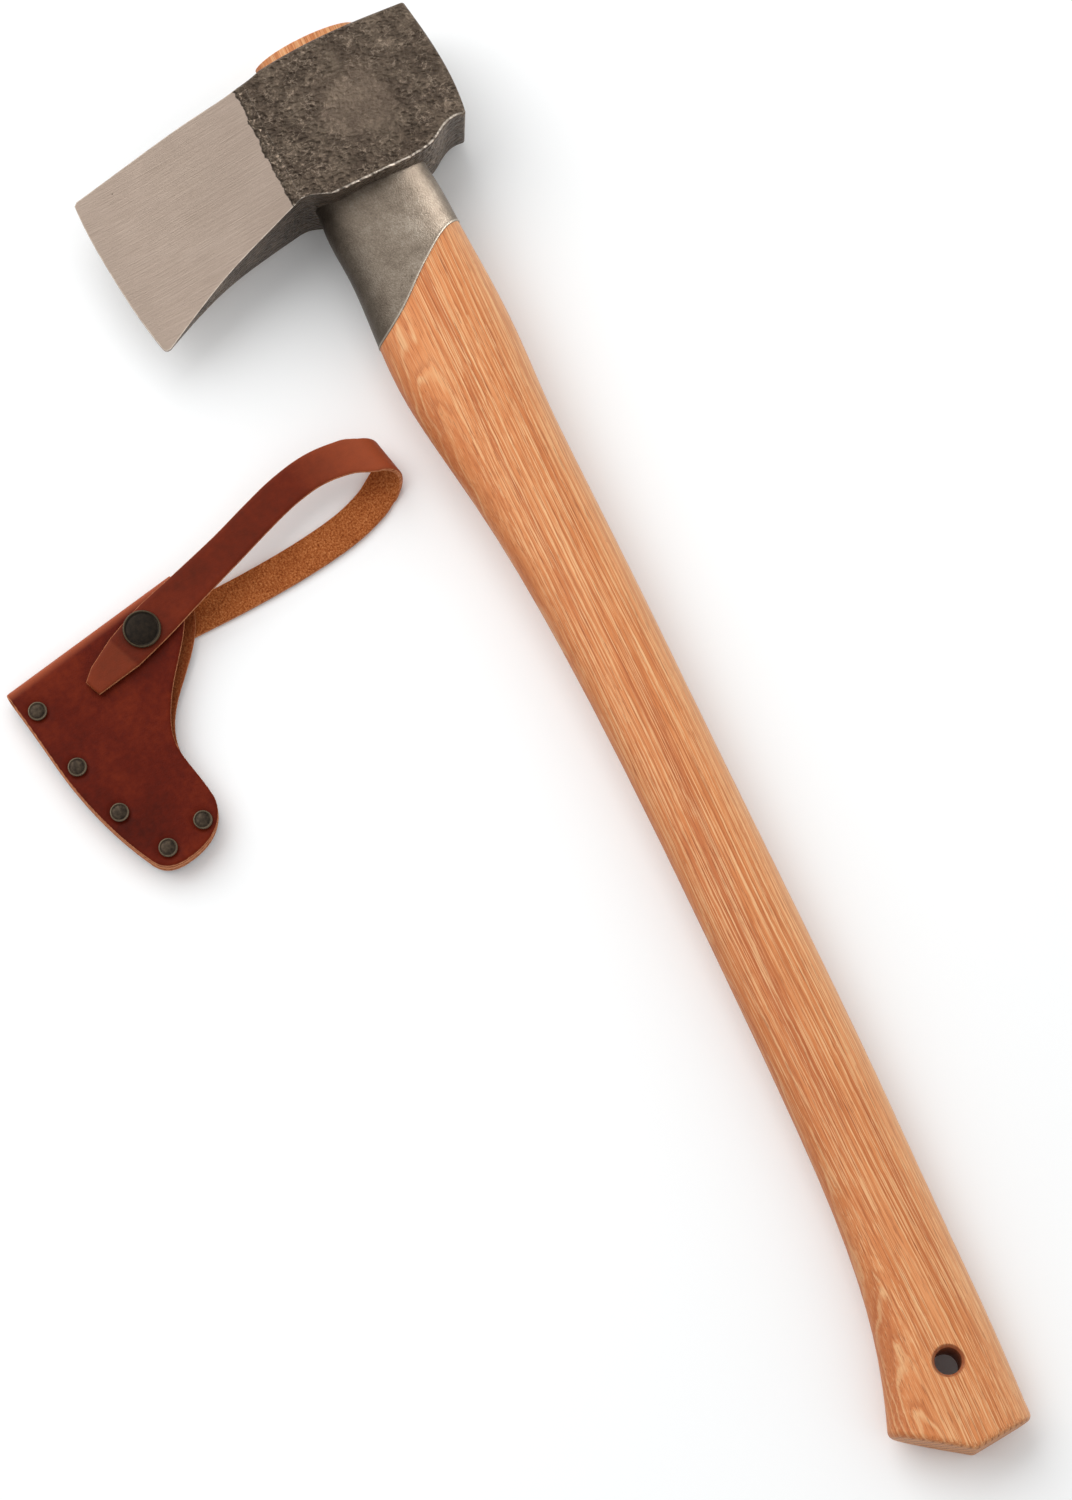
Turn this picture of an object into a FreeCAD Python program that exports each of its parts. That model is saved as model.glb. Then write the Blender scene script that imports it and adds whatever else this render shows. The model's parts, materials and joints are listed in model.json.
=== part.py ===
import FreeCAD, Part
import math
import os

# A two-hand splitting axe with a steel collar guard, lying on its side on a table, and the riveted
# leather sheath of its bit lying beside it. Millimetres. The axe is drawn upright in its own frame:
# origin at the centre of the eye, +X from butt to head, +Y from poll to cutting edge, z = 0 in the
# middle of the blade. The sheath is drawn where it lies, with the table at z = 0.

Vec = FreeCAD.Vector
doc = FreeCAD.newDocument("splitting_axe")

# ---------------------------------------------------------------- driving dimensions
DIMENSIONS = {
    "head_half_width": 30.0,       # half the width that the two outlines of the head are padded to
    "cheek_half": 27.8,            # half the thickness of the head over the eye
    "poll_half": 22.2,             # half the thickness of the head at the poll
    "eye_foot": -30.6,             # x of the underside of the head, where the collar ends
    "eye_top": 37.6,               # x of the top of the head
    "collar_wall": 1.8,
    "wood_proud": 8.0,             # the handle stands this far out of the top of the eye
    "dome_radius": 160.0,
    "kerf_depth": 46.0,
    "wood_wedge_top": 6.4,         # thickness of the wooden wedge at the top of the eye
    "wood_wedge_tip": 1.6,
    "steel_wedge_leg": 9.5,
    "steel_wedge_thick": 2.4,
    "steel_wedge_depth": 20.0,
    "hang_hole_radius": 6.0,
    "hang_hole_chamfer": 1.4,
    "hang_hole_x": -613.9,
    "hang_hole_y": 18.9,
    "butt_half": 13.55,            # half the thickness of the handle at the hanging hole
    "mouth_depth": 4.0,            # the cones that chamfer the hole reach this far out
    "butt_round": 3.0,
    "lie_angle": 1.336,            # the axe leans this much, from the cheek down to the butt
    "leather": 3.0,
    "strap_thick": 2.6,
    "strap_width": 16.2,
    "pocket_gap": 5.0,             # thickness of the welt, and so of the pocket
    "rivet_cap_radius": 4.2,
    "rivet_cap_rise": 1.8,
    "rivet_barrel_radius": 1.8,
    "rivet_pin_radius": 1.0,
    "rivet_foot": 0.8,
    "snap_cap_radius": 8.6,
    "snap_cap_rise": 2.0,
    "snap_lift": 1.4,              # height of the strap over the front panel at the snap
    "snap_plate": 0.6,             # thickness of the eyelet's flange and of the stud's base
    "snap_flange_radius": 4.2,
    "snap_eyelet_radius": 1.9,
    "snap_base_radius": 5.0,
    "snap_knob_radius": 2.9,
    "snap_knob_rise": 1.7,
    "snap_hollow_radius": 3.3,
    "snap_hollow_rise": 1.4,       # how far the socket's hollow goes up into the strap
    "snap_socket_radius": 5.6,
    "snap_socket_thick": 0.5,
    "snap_post_radius": 4.4,
    "bend_radius": 7.5,            # middle of the strap round the far end of its loop
}

sheet = doc.addObject("Spreadsheet::Sheet", "Sizes")
for row, (alias, number) in enumerate(DIMENSIONS.items(), start=1):
    sheet.set("A%d" % row, alias)
    sheet.set("B%d" % row, str(number))
    sheet.setAlias("B%d" % row, alias)
doc.recompute()


def size(alias):
    """A driving dimension, read back from the sheet."""
    return float(sheet.get(alias))


# Levels of the sheath above the table.
back_low = size("strap_thick")
back_top = back_low + size("leather")
front_low = back_top + size("pocket_gap")
front_top = front_low + size("leather")
strap_low = front_top + size("snap_lift")
strap_top = strap_low + size("strap_thick")
fold_radius = (front_top - back_low) / 2.0
MIDDLE_PLANE = FreeCAD.Placement()
CROSS_PLANE = FreeCAD.Placement(Vec(0, 0, 0), FreeCAD.Rotation(Vec(1, 1, 1), 120))    # x, y are y, z
UP = Vec(0, 0, 1)


# ---------------------------------------------------------------- helpers
def bind(obj, **cells):
    """Bind properties to sheet expressions."""
    for prop, expression in cells.items():
        obj.setExpression(prop, expression)
    return obj


def outline(name, runs, placement=MIDDLE_PLANE):
    """A closed sketch from runs of points: two points are a line, more are a smooth curve."""
    sketch = doc.addObject("Sketcher::SketchObject", name)
    sketch.Placement = placement
    for run in runs:
        points = [Vec(x, y, 0) for x, y in run]
        if len(points) == 2:
            sketch.addGeometry(Part.LineSegment(points[0], points[1]))
        else:
            curve = Part.BSplineCurve()
            curve.interpolate(points)
            sketch.addGeometry(curve)
    return sketch


def extrude(name, sketch, direction, length, back="0"):
    """A solid made by extruding a closed sketch; length and back are sheet expressions or numbers."""
    solid = doc.addObject("Part::Extrusion", name)
    solid.Base = sketch
    solid.DirMode = "Custom"
    solid.Dir = direction
    solid.Solid = True
    return bind(solid, LengthFwd=str(length), LengthRev=str(back))


def cylinder(name, centre, radius, length):
    """An upright cylinder standing on centre."""
    solid = doc.addObject("Part::Cylinder", name)
    solid.Placement.Base = Vec(*centre)
    return bind(solid, Radius=str(radius), Height=str(length))


def cone(name, centre, low_radius, high_radius, length):
    """An upright cone standing on centre."""
    solid = doc.addObject("Part::Cone", name)
    solid.Placement.Base = Vec(*centre)
    return bind(solid, Radius1=str(low_radius), Radius2=str(high_radius), Height=str(length))


def shaped(name, shape):
    """A feature for a shape that only Part's own functions can make."""
    feature = doc.addObject("Part::Feature", name)
    feature.Shape = shape
    return feature


def cut(name, base, *tools):
    """base less all the tools."""
    for number, tool in enumerate(tools, start=1):
        last = number == len(tools)
        result = doc.addObject("Part::Cut", name if last else "%s_cut_%d" % (name, number))
        result.Base = base
        result.Tool = tool
        base = result
    return base


def join(name, *parts):
    """The parts fused into one."""
    result = doc.addObject("Part::MultiFuse", name)
    result.Shapes = list(parts)
    return result


def group(name, *parts):
    """Separate solids kept in one node."""
    result = doc.addObject("Part::Compound", name)
    result.Links = list(parts)
    return result


def common(name, first, second):
    """What is inside both."""
    result = doc.addObject("Part::Common", name)
    result.Base = first
    result.Tool = second
    return result


def oval(x, y_back, y_front, half_z, roundness=2.5, count=16):
    """A closed section across the handle at x: an oval with flattened sides."""
    middle = (y_back + y_front) / 2.0
    half_y = (y_front - y_back) / 2.0
    points = []
    for step in range(count):
        angle = 2 * math.pi * step / count
        cosine, sine = math.cos(angle), math.sin(angle)
        y = middle + half_y * math.copysign(abs(cosine) ** (2 / roundness), cosine)
        z = half_z * math.copysign(abs(sine) ** (2 / roundness), sine)
        points.append(Vec(x, y, z))
    curve = Part.BSplineCurve()
    curve.interpolate(points, PeriodicFlag=True)
    return Part.Wire([curve.toShape()])


def oval_loft(stations, inset=0.0):
    """A smooth solid through ovals at the stations, each drawn in by inset."""
    sections = [oval(x, back + inset, front - inset, half - inset) for x, back, front, half in stations]
    return Part.makeLoft(sections, True, False)


def level_plane(level):
    """The level plane that a sketch lies in, at a height."""
    return FreeCAD.Placement(UP * level, FreeCAD.Rotation())


# ---------------------------------------------------------------- the head
# Seen from the side: a nearly straight top, a shallow convex edge, a hollow beard, and lugs that
# reach down each side of the handle.
HEAD_SIDE = [
    [(37.4, -44.2), (38.0, -20.0), (37.7, 6.0), (35.8, 28.5)],
    [(35.8, 28.5), (34.4, 33.0), (33.3, 38.0), (31.9, 62.0), (29.7, 90.0), (26.7, 112.5),
     (24.6, 125.6)],
    [(24.6, 125.6), (23.2, 127.2)],
    [(23.2, 127.2), (8.2, 127.6), (-13.4, 126.5), (-33.8, 124.5), (-53.0, 121.2)],
    [(-53.0, 121.2), (-55.3, 119.8), (-55.2, 117.4)],
    [(-55.2, 117.4), (-47.4, 101.4), (-38.7, 81.0), (-32.0, 59.6), (-26.8, 40.6)],
    [(-26.8, 40.6), (-26.5, 34.0), (-28.6, 28.0), (-30.6, 22.0)],
    [(-30.6, 22.0), (-30.6, -13.0)],
    [(-30.6, -13.0), (-29.7, -20.5), (-27.9, -27.0), (-24.9, -32.0), (-22.2, -46.0)],
    [(-22.2, -46.0), (-3.6, -48.0), (10.3, -47.6), (37.4, -44.2)],
]
# Seen from the top: cheeks that are parallel over the eye, a crowned poll and a hollow-ground wedge.
cheek = size("cheek_half")
poll = size("poll_half")
EDGE_HALF = 0.35
WEDGE_SIDE = [(38.0, cheek), (60.0, 18.2), (81.0, 10.4), (101.0, 4.4), (128.5, EDGE_HALF)]
CHEEK_SIDE = [(-52.0, poll - 0.6), (-28.0, 25.0), (-8.0, 27.2), (12.0, cheek), (38.0, cheek)]


def mirrored(points):
    """The same outline on the other cheek."""
    return [(y, -z) for y, z in reversed(points)]


HEAD_TOP = [
    CHEEK_SIDE,
    WEDGE_SIDE,
    [WEDGE_SIDE[-1], mirrored(WEDGE_SIDE)[0]],
    mirrored(WEDGE_SIDE),
    mirrored(CHEEK_SIDE),
    [mirrored(CHEEK_SIDE)[-1], CHEEK_SIDE[0]],
]
head_side = extrude("head_side", outline("head_side_outline", HEAD_SIDE), UP,
                    "Sizes.head_half_width", "Sizes.head_half_width")
head_top = extrude("head_top", outline("head_top_outline", HEAD_TOP, CROSS_PLANE), Vec(1, 0, 0), 60, 80)
head_blank = common("head_blank", head_side, head_top)
doc.recompute()

# The eye is an hourglass oval; the handle's tongue fills it.
HANDLE_STATIONS = [
    (size("eye_foot"), -21.9, 31.1, 15.6),
    (-60.0, -23.4, 32.1, 15.5),
    (-90.0, -24.2, 33.9, 15.3),
    (-118.0, -23.8, 35.3, 15.0),
    (-150.0, -21.7, 32.5, 14.2),
    (-190.0, -20.5, 27.7, 13.4),
    (-250.0, -19.3, 24.3, 12.9),
    (-330.0, -17.1, 24.2, 12.6),
    (-410.0, -15.2, 26.3, 12.6),
    (-490.0, -12.5, 29.5, 12.8),
    (-550.0, -9.5, 34.4, 13.1),
    (-590.0, -7.7, 41.9, 13.5),
    (-625.0, -5.6, 53.7, 13.6),
    (-668.0, -3.1, 69.3, 13.4),
]
wall = size("collar_wall")
foot_station = HANDLE_STATIONS[0]
EYE_STATIONS = [
    (foot_station[0], foot_station[1] + wall, foot_station[2] - wall, foot_station[3] - wall),
    (2.0, -19.2, 27.4, 12.2),
    (size("eye_top"), -22.4, 26.6, 13.0),
    (size("eye_top") + 16.0, -22.8, 26.9, 13.2),
]
eye_core = shaped("eye_core", oval_loft(EYE_STATIONS))
head_blank_eyed = cut("head_blank_eyed", head_blank, eye_core)
doc.recompute()


def forged_edge(edge):
    """The outer edges of the cheeks and the poll, which the forging leaves rounded."""
    box = edge.BoundBox
    outer = max(abs(box.ZMin), abs(box.ZMax)) > poll - 1.0
    across_poll = box.YMax < -40.0
    on_cheek = box.YMax < 28.6 or (box.YMax < 38.1 and box.XMin > 30.0)
    return outer and on_cheek and (across_poll or abs(box.ZMax - box.ZMin) < 6.0)


def edge_numbers(shape, wanted):
    return [number for number, edge in enumerate(shape.Edges, start=1) if wanted(edge)]


def rounded(name, base, radius, wanted):
    """base with the wanted edges rounded."""
    result = doc.addObject("Part::Fillet", name)
    result.Base = base
    result.Edges = [(number, radius, radius) for number in edge_numbers(base.Shape, wanted)]
    return result


axe_head = rounded("axe_head", head_blank_eyed, 1.5, forged_edge)
doc.recompute()

# ---------------------------------------------------------------- the handle, its collar and wedges
handle_skin = shaped("handle_skin", oval_loft(HANDLE_STATIONS))
handle_core = shaped("handle_core", oval_loft(HANDLE_STATIONS[:5], wall))

# The collar's lower rim sweeps down from the back of the handle to its front.
RIM = [(-59.2, -30.0), (-62.2, -16.0), (-73.5, 0.5), (-87.0, 17.0), (-94.5, 29.0), (-99.0, 40.0)]
COLLAR_REACH = [
    [(foot_station[0], -30.0), RIM[0]],
    RIM,
    [RIM[-1], (foot_station[0], 40.0)],
    [(foot_station[0], 40.0), (foot_station[0], -30.0)],
]
collar_reach = extrude("collar_reach", outline("collar_outline", COLLAR_REACH), UP, 20, 20)
collar_guard = cut("collar_guard", common("collar_skin", handle_skin, collar_reach), handle_core)

# The tongue stands proud of the head and is domed over.
EYE_MIDDLE = 2.0
dome_middle = Vec(size("eye_top") + size("wood_proud") - size("dome_radius"), EYE_MIDDLE, 0)
dome = doc.addObject("Part::Sphere", "dome")
dome.Placement.Base = dome_middle
bind(dome, Radius="Sizes.dome_radius")
tongue = common("tongue", eye_core, dome)

# A wooden wedge along the eye, and a three-legged steel wedge across it.
kerf_top = EYE_STATIONS[-1][0]
kerf_foot = size("eye_top") - size("kerf_depth")
wedge_top = size("wood_wedge_top") / 2.0
wedge_tip = size("wood_wedge_tip") / 2.0
KERF = [
    [(kerf_foot, -wedge_tip), (kerf_top, -wedge_top)],
    [(kerf_top, -wedge_top), (kerf_top, wedge_top)],
    [(kerf_top, wedge_top), (kerf_foot, wedge_tip)],
    [(kerf_foot, wedge_tip), (kerf_foot, -wedge_tip)],
]
FLAT_PLANE = FreeCAD.Placement(Vec(0, 40, 0), FreeCAD.Rotation(Vec(1, 0, 0), 90))    # x, y are x, z
kerf = extrude("kerf", outline("kerf_outline", KERF, FLAT_PLANE), Vec(0, -1, 0), 80)


def steel_leg(number):
    """One leg of the steel wedge: it tapers to an edge down in the wood."""
    leg = doc.addObject("Part::Wedge", "steel_leg_%d" % number)
    half = size("steel_wedge_thick") / 2.0
    long = size("steel_wedge_leg")
    leg.Xmin, leg.Xmax, leg.X2min, leg.X2max = -half * 0.15, half * 0.15, -half, half
    leg.Zmin, leg.Zmax, leg.Z2min, leg.Z2max = 0, long * 0.8, 0, long
    leg.Ymin, leg.Ymax = 0, size("steel_wedge_depth")
    turn = FreeCAD.Rotation(Vec(1, 0, 0), 120 * number + 90)
    upright = FreeCAD.Rotation(UP, -90)
    foot = size("eye_top") + size("wood_proud") - size("steel_wedge_depth") + 3.5
    leg.Placement = FreeCAD.Placement(Vec(foot, EYE_MIDDLE, 0), turn.multiply(upright))
    return leg


steel_blank = join("steel_blank", *[steel_leg(number) for number in range(3)])
steel_wedge = common("steel_wedge", steel_blank, dome)
wooden_wedge = cut("wooden_wedge", common("wedge_blank", tongue, kerf), steel_wedge)

# The butt ends in two flat facets that meet in a ridge towards the front.
BUTT_WASTE = [
    [(-629.3, 58.0), (-653.5, 25.4)],
    [(-653.5, 25.4), (-651.0, -12.0)],
    [(-651.0, -12.0), (-690.0, -12.0)],
    [(-690.0, -12.0), (-690.0, 90.0)],
    [(-690.0, 90.0), (-629.3, 90.0)],
    [(-629.3, 90.0), (-629.3, 58.0)],
]
butt_waste = extrude("butt_waste", outline("butt_outline", BUTT_WASTE), UP, 30, 30)
shaft_blank = cut("shaft_blank", handle_skin, butt_waste)
doc.recompute()


def butt_rim(edge):
    """The edges round the two facets of the butt."""
    return edge.BoundBox.XMax < -625.0


shaft_rounded = rounded("shaft_rounded", shaft_blank, size("butt_round"), butt_rim)
hole_x, hole_y = size("hang_hole_x"), size("hang_hole_y")
hang_hole = cylinder("hang_hole", (hole_x, hole_y, -20), "Sizes.hang_hole_radius", 40)
mouth_depth = size("mouth_depth")
hole_wall_half = size("butt_half") - size("hang_hole_chamfer")
hole_narrow = size("hang_hole_radius")
hole_wide = hole_narrow + mouth_depth
near_foot = (hole_x, hole_y, hole_wall_half)
far_foot = (hole_x, hole_y, -hole_wall_half - mouth_depth)
near_mouth = cone("near_mouth", near_foot, hole_narrow, hole_wide, mouth_depth)
far_mouth = cone("far_mouth", far_foot, hole_wide, hole_narrow, mouth_depth)
shaft = cut("shaft", shaft_rounded, collar_guard, hang_hole, near_mouth, far_mouth)
handle = cut("handle", join("handle_whole", shaft, tongue), kerf, steel_wedge)
doc.recompute()

# ---------------------------------------------------------------- the sheath
# One piece of leather folded along the top of the head, with a welt between its two panels where
# the cutting edge comes. Its fold runs from the mouth to the riveted edge.
FOLD_MOUTH = (-144.0, 163.0)
FOLD_TOP = (-161.0, 253.0)
fold_angle = math.degrees(math.atan2(FOLD_MOUTH[0] - FOLD_TOP[0], FOLD_TOP[1] - FOLD_MOUTH[1]))
PAST_FOLD = -136.0
RIVETED_EDGE = [
    (-150.0, 253.8), (-161.0, 251.9), (-183.9, 248.2), (-207.5, 244.7), (-234.2, 237.8), (-257.3, 227.9),
]
HEEL_CORNER = [
    (-257.3, 227.9), (-263.9, 221.1), (-264.0, 210.4), (-258.1, 196.9), (-251.3, 191.6), (-242.0, 190.3),
]
FRONT_MOUTH = [
    (-242.0, 190.3), (-230.6, 192.3), (-212.4, 194.1), (-201.8, 190.4), (-189.6, 183.0), (-167.4, 166.8),
    (-154.0, 161.4), (PAST_FOLD, 160.1),
]
BACK_MOUTH = [
    (-242.0, 190.3), (-230.6, 192.3), (-214.0, 193.3), (-203.0, 189.2), (-188.6, 177.8), (-176.2, 167.0),
    (-162.0, 159.4), (-148.0, 156.8), (PAST_FOLD, 156.6),
]


def panel_outline(name, mouth, level):
    """The outline that one panel is cut to; only the mouths of the two panels differ."""
    far_corner = (PAST_FOLD, RIVETED_EDGE[0][1])
    runs = [
        RIVETED_EDGE,
        HEEL_CORNER,
        mouth,
        [mouth[-1], far_corner],
        [far_corner, RIVETED_EDGE[0]],
    ]
    return outline(name, runs, level_plane(level))


middle_level = (back_low + front_top) / 2.0
front_reach = extrude("front_reach", panel_outline("front_outline", FRONT_MOUTH, middle_level), UP, 10)
back_reach = extrude("back_reach", panel_outline("back_outline", BACK_MOUTH, middle_level), UP, 0, 10)

# The folded strip before it is cut to its outline, drawn along the fold and turned into place.
inner_radius = size("pocket_gap") / 2.0
FLAP = -130.0                                    # how far the strip reaches from its fold
FOLD = -fold_radius
FOLDED = [
    [(FLAP, back_low), (FOLD, back_low)],
    [(FOLD, back_low), (0.0, middle_level), (FOLD, front_top)],
    [(FOLD, front_top), (FLAP, front_top)],
    [(FLAP, front_top), (FLAP, front_low)],
    [(FLAP, front_low), (FOLD, front_low)],
    [(FOLD, front_low), (FOLD + inner_radius, middle_level), (FOLD, back_top)],
    [(FOLD, back_top), (FLAP, back_top)],
    [(FLAP, back_top), (FLAP, back_low)],
]


def arc_outline(name, runs, placement):
    """A closed sketch whose three-point runs are arcs."""
    sketch = doc.addObject("Sketcher::SketchObject", name)
    sketch.Placement = placement
    for run in runs:
        points = [Vec(x, y, 0) for x, y in run]
        straight = len(points) == 2
        sketch.addGeometry(Part.LineSegment(*points) if straight else Part.Arc(*points))
    return sketch


fold_turn = FreeCAD.Rotation(UP, fold_angle)
fold_place = FreeCAD.Placement(Vec(FOLD_MOUTH[0], FOLD_MOUTH[1], 0), fold_turn)
upright_place = FreeCAD.Placement(Vec(0, 0, 0), FreeCAD.Rotation(Vec(1, 0, 0), 90))
folded_outline = arc_outline("folded_outline", FOLDED, fold_place.multiply(upright_place))
folded_strip = extrude("folded_strip", folded_outline, fold_turn.multVec(Vec(0, 1, 0)), 130, 40)
sheath_blank = common("sheath_blank", folded_strip, join("sheath_reach", front_reach, back_reach))

WELT_INNER = [
    (-242.0, 190.3), (-243.6, 204.0), (-246.0, 210.5), (-226.0, 221.5), (-203.0, 228.6), (-176.0, 233.2),
    (-163.5, 235.0),
]
WELT_END = (-166.6, 251.0)
WELT = [
    [WELT_INNER[-1], WELT_END],
    [WELT_END] + RIVETED_EDGE[2:],
    HEEL_CORNER,
    WELT_INNER,
]
welt_outline = outline("welt_outline", WELT, level_plane(back_top))
welt_blank = extrude("welt_blank", welt_outline, UP, "Sizes.pocket_gap")

# Tubular rivets: a domed cap with a barrel, and a foot with a pin up inside the barrel.
SHEATH_RIVETS = [(-174.9, 242.8), (-205.6, 238.2), (-232.4, 230.6), (-256.3, 218.5), (-251.9, 199.3)]
STRAP_RIVETS = [(-164.5, 172.0), (-165.5, 190.0)]


def dome_cap(name, centre, radius, rise):
    """A shallow domed disc: a low cylinder under a slice of a sphere."""
    x, y, z = centre
    rim = 0.35 * rise
    crown = rise - rim
    sphere_radius = (radius ** 2 + crown ** 2) / (2 * crown)
    ball = doc.addObject("Part::Sphere", name + "_ball")
    ball.Placement.Base = Vec(x, y, z + rise - sphere_radius)
    bind(ball, Radius=str(sphere_radius))
    return common(name, cylinder(name + "_disc", centre, radius, rise), ball)


def rivet(name, place, foot_level, head_level, cap_rise):
    """The cap and the foot of one rivet; the barrel ends just over the foot."""
    x, y = place
    foot = size("rivet_foot")
    barrel_radius = "Sizes.rivet_barrel_radius"
    pin_radius = "Sizes.rivet_pin_radius"
    barrel_low = foot_level + foot
    barrel_length = head_level - barrel_low
    hole_length = barrel_length - 1.0
    cap = dome_cap(name + "_cap", (x, y, head_level), size("rivet_cap_radius"), cap_rise)
    barrel = cylinder(name + "_barrel", (x, y, barrel_low), barrel_radius, barrel_length)
    pin_hole = cylinder(name + "_pin_hole", (x, y, barrel_low), pin_radius, hole_length)
    foot_disc = cylinder(name + "_foot_disc", (x, y, foot_level), size("rivet_cap_radius") - 0.4, foot)
    pin = cylinder(name + "_pin", (x, y, barrel_low), pin_radius, hole_length - 0.5)
    bore = cylinder(name + "_bore", (x, y, foot_level - 1), barrel_radius, barrel_length + 3)
    head = cut(name + "_head", join(name + "_head_whole", cap, barrel), pin_hole)
    return head, join(name + "_foot", foot_disc, pin), bore


edge_foot = back_low - size("rivet_foot")
edge_rise = size("rivet_cap_rise")
STRAP_RIVET_RISE = 1.0
edge_rivets = [
    rivet("edge_rivet_%d" % number, place, edge_foot, front_top, edge_rise)
    for number, place in enumerate(SHEATH_RIVETS, start=1)
]
strap_rivets = [
    rivet("strap_rivet_%d" % number, place, 0.0, back_top, STRAP_RIVET_RISE)
    for number, place in enumerate(STRAP_RIVETS, start=1)
]
edge_bores = join("edge_bores", *[bore for head, foot, bore in edge_rivets])
strap_bores = join("strap_bores", *[bore for head, foot, bore in strap_rivets])
sheath_rivet_caps = group("sheath_rivet_caps", *[head for head, foot, bore in edge_rivets])
sheath_rivet_posts = group("sheath_rivet_posts", *[foot for head, foot, bore in edge_rivets])
strap_rivet_caps = group("strap_rivet_caps", *[head for head, foot, bore in strap_rivets])
strap_rivet_posts = group("strap_rivet_posts", *[foot for head, foot, bore in strap_rivets])

# The snap: an eyelet and a stud on the front panel, a socket and a cap on the strap.
SNAP = (-163.0, 185.4)
plate = size("snap_plate")
base_top = front_top + plate


def snap_disc(name, level, radius, length):
    """One round of the snap, standing on a level."""
    return cylinder(name, (SNAP[0], SNAP[1], level), "Sizes." + radius, length)


hollow_length = strap_low + size("snap_hollow_rise") - front_top
socket_low = strap_low - size("snap_socket_thick")
cap_centre = (SNAP[0], SNAP[1], strap_top)
eyelet_flange = snap_disc("eyelet_flange", front_low - plate, "snap_flange_radius", plate)
eyelet_barrel = snap_disc("eyelet_barrel", front_low, "snap_eyelet_radius", base_top - front_low)
snap_eyelet = join("snap_eyelet", eyelet_flange, eyelet_barrel)
stud_base = snap_disc("stud_base", front_top, "snap_base_radius", plate)
stud_knob = snap_disc("stud_knob", base_top, "snap_knob_radius", size("snap_knob_rise"))
snap_stud = cut("snap_stud", join("stud_whole", stud_base, stud_knob), eyelet_barrel)
socket_hollow = snap_disc("socket_hollow", front_top, "snap_hollow_radius", hollow_length)
socket_ring = snap_disc("socket_ring", socket_low, "snap_socket_radius", size("snap_socket_thick"))
snap_socket = cut("snap_socket", socket_ring, socket_hollow)
cap_post = snap_disc("cap_post", strap_low, "snap_post_radius", size("strap_thick"))
snap_dome = dome_cap("snap_dome", cap_centre, size("snap_cap_radius"), size("snap_cap_rise"))
snap_cap = cut("snap_cap", join("snap_cap_whole", snap_dome, cap_post), socket_hollow)
sheath_leather = cut("sheath_leather", sheath_blank, edge_bores, strap_bores, eyelet_barrel)
sheath_welt = cut("sheath_welt", welt_blank, edge_bores)

# ---------------------------------------------------------------- the strap
# A flat band. Its lower run is fixed under the back panel and lies on the table; it turns over a
# slanting bend at the far end of the loop, and the upper run comes back to the snap.
BEND_ALONG = Vec(0.98, 0.2, 0).normalize()       # the line that the band turns about
BEND_OUT = Vec(0.2, -0.98, 0).normalize()        # level, away from the sheath
LOWER_END = Vec(-148.2, 59.2, 0)
UPPER_START = Vec(-136.0, 61.4, 0)
UPPER_RUN = [
    (-132.6, 71.0), (-131.8, 85.0), (-134.8, 101.0), (-139.8, 117.0), (-146.4, 135.0), (-154.8, 157.0),
    (-163.6, 182.0), (-170.0, 198.5),
]
LOWER_RUN = [
    (-165.2, 197.0), (-164.8, 165.0), (-164.2, 136.0), (-162.2, 108.0), (-158.6, 84.0), (-153.6, 68.5),
]
TIP = [(-168.2, 213.1), (-173.5, 218.3), (-181.2, 216.2), (-180.9, 200.5)]
lower_middle = size("strap_thick") / 2.0
bend_radius = size("bend_radius")
strap_middle = strap_low + lower_middle


def band_section(centre, side, up):
    """The strap's section at centre; side runs from its middle to its edge, and up is its flat side."""
    rise = Vec(up.x, up.y, up.z).normalize() * lower_middle
    corners = [centre - side - rise, centre + side - rise, centre + side + rise, centre - side + rise]
    return Part.makePolygon(corners + corners[:1])


# Round the bend the sections run along the line that it turns about, so they cut the band aslant.
bend_travel = UPPER_START - LOWER_END
bend_slant = math.atan2(bend_travel.dot(BEND_ALONG), math.pi * bend_radius)
half_width = size("strap_width") / 2.0
SLANTED_SIDE = BEND_ALONG * (half_width / math.cos(bend_slant))


def level_sections(points, level, steps=14):
    """Square sections of a flat band along a curve at one level."""
    curve = Part.BSplineCurve()
    curve.interpolate([Vec(x, y, level) for x, y in points])
    low, high = curve.FirstParameter, curve.LastParameter
    sections = []
    for step in range(steps + 1):
        place = low + (high - low) * step / steps
        side = curve.tangent(place)[0].cross(UP).normalize() * half_width
        sections.append(band_section(curve.value(place), side, UP))
    return sections


def bend_sections(steps=10):
    """Sections round the far bend, from the bottom over the outside to the top."""
    sections = []
    for step in range(steps + 1):
        angle = math.pi * step / steps
        outward = BEND_OUT * math.sin(angle) - UP * math.cos(angle)
        base = LOWER_END + bend_travel * (step / steps)
        centre = Vec(base.x, base.y, lower_middle + bend_radius) + outward * bend_radius
        sections.append(band_section(centre, SLANTED_SIDE, outward))
    return sections


BEND_GAP = 0.8                                   # between the bend's end and the upper run
lower_end = band_section(LOWER_END + UP * lower_middle, -SLANTED_SIDE, UP)
upper_start = band_section(UPPER_START + UP * strap_middle - BEND_OUT * BEND_GAP, SLANTED_SIDE, UP)
lower_sections = level_sections(LOWER_RUN, lower_middle) + [lower_end]
upper_sections = [upper_start] + level_sections(UPPER_RUN, strap_middle)
lower_flat = shaped("lower_flat", Part.makeLoft(lower_sections, True, True))
far_bend = shaped("far_bend", Part.makeLoft(bend_sections(), True, False))
upper_flat = shaped("upper_flat", Part.makeLoft(upper_sections, True, True))
lower_band = join("lower_band", lower_flat, far_bend)
strap_lower_run = cut("strap_lower_run", lower_band, strap_bores, strap_rivet_posts)

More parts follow.
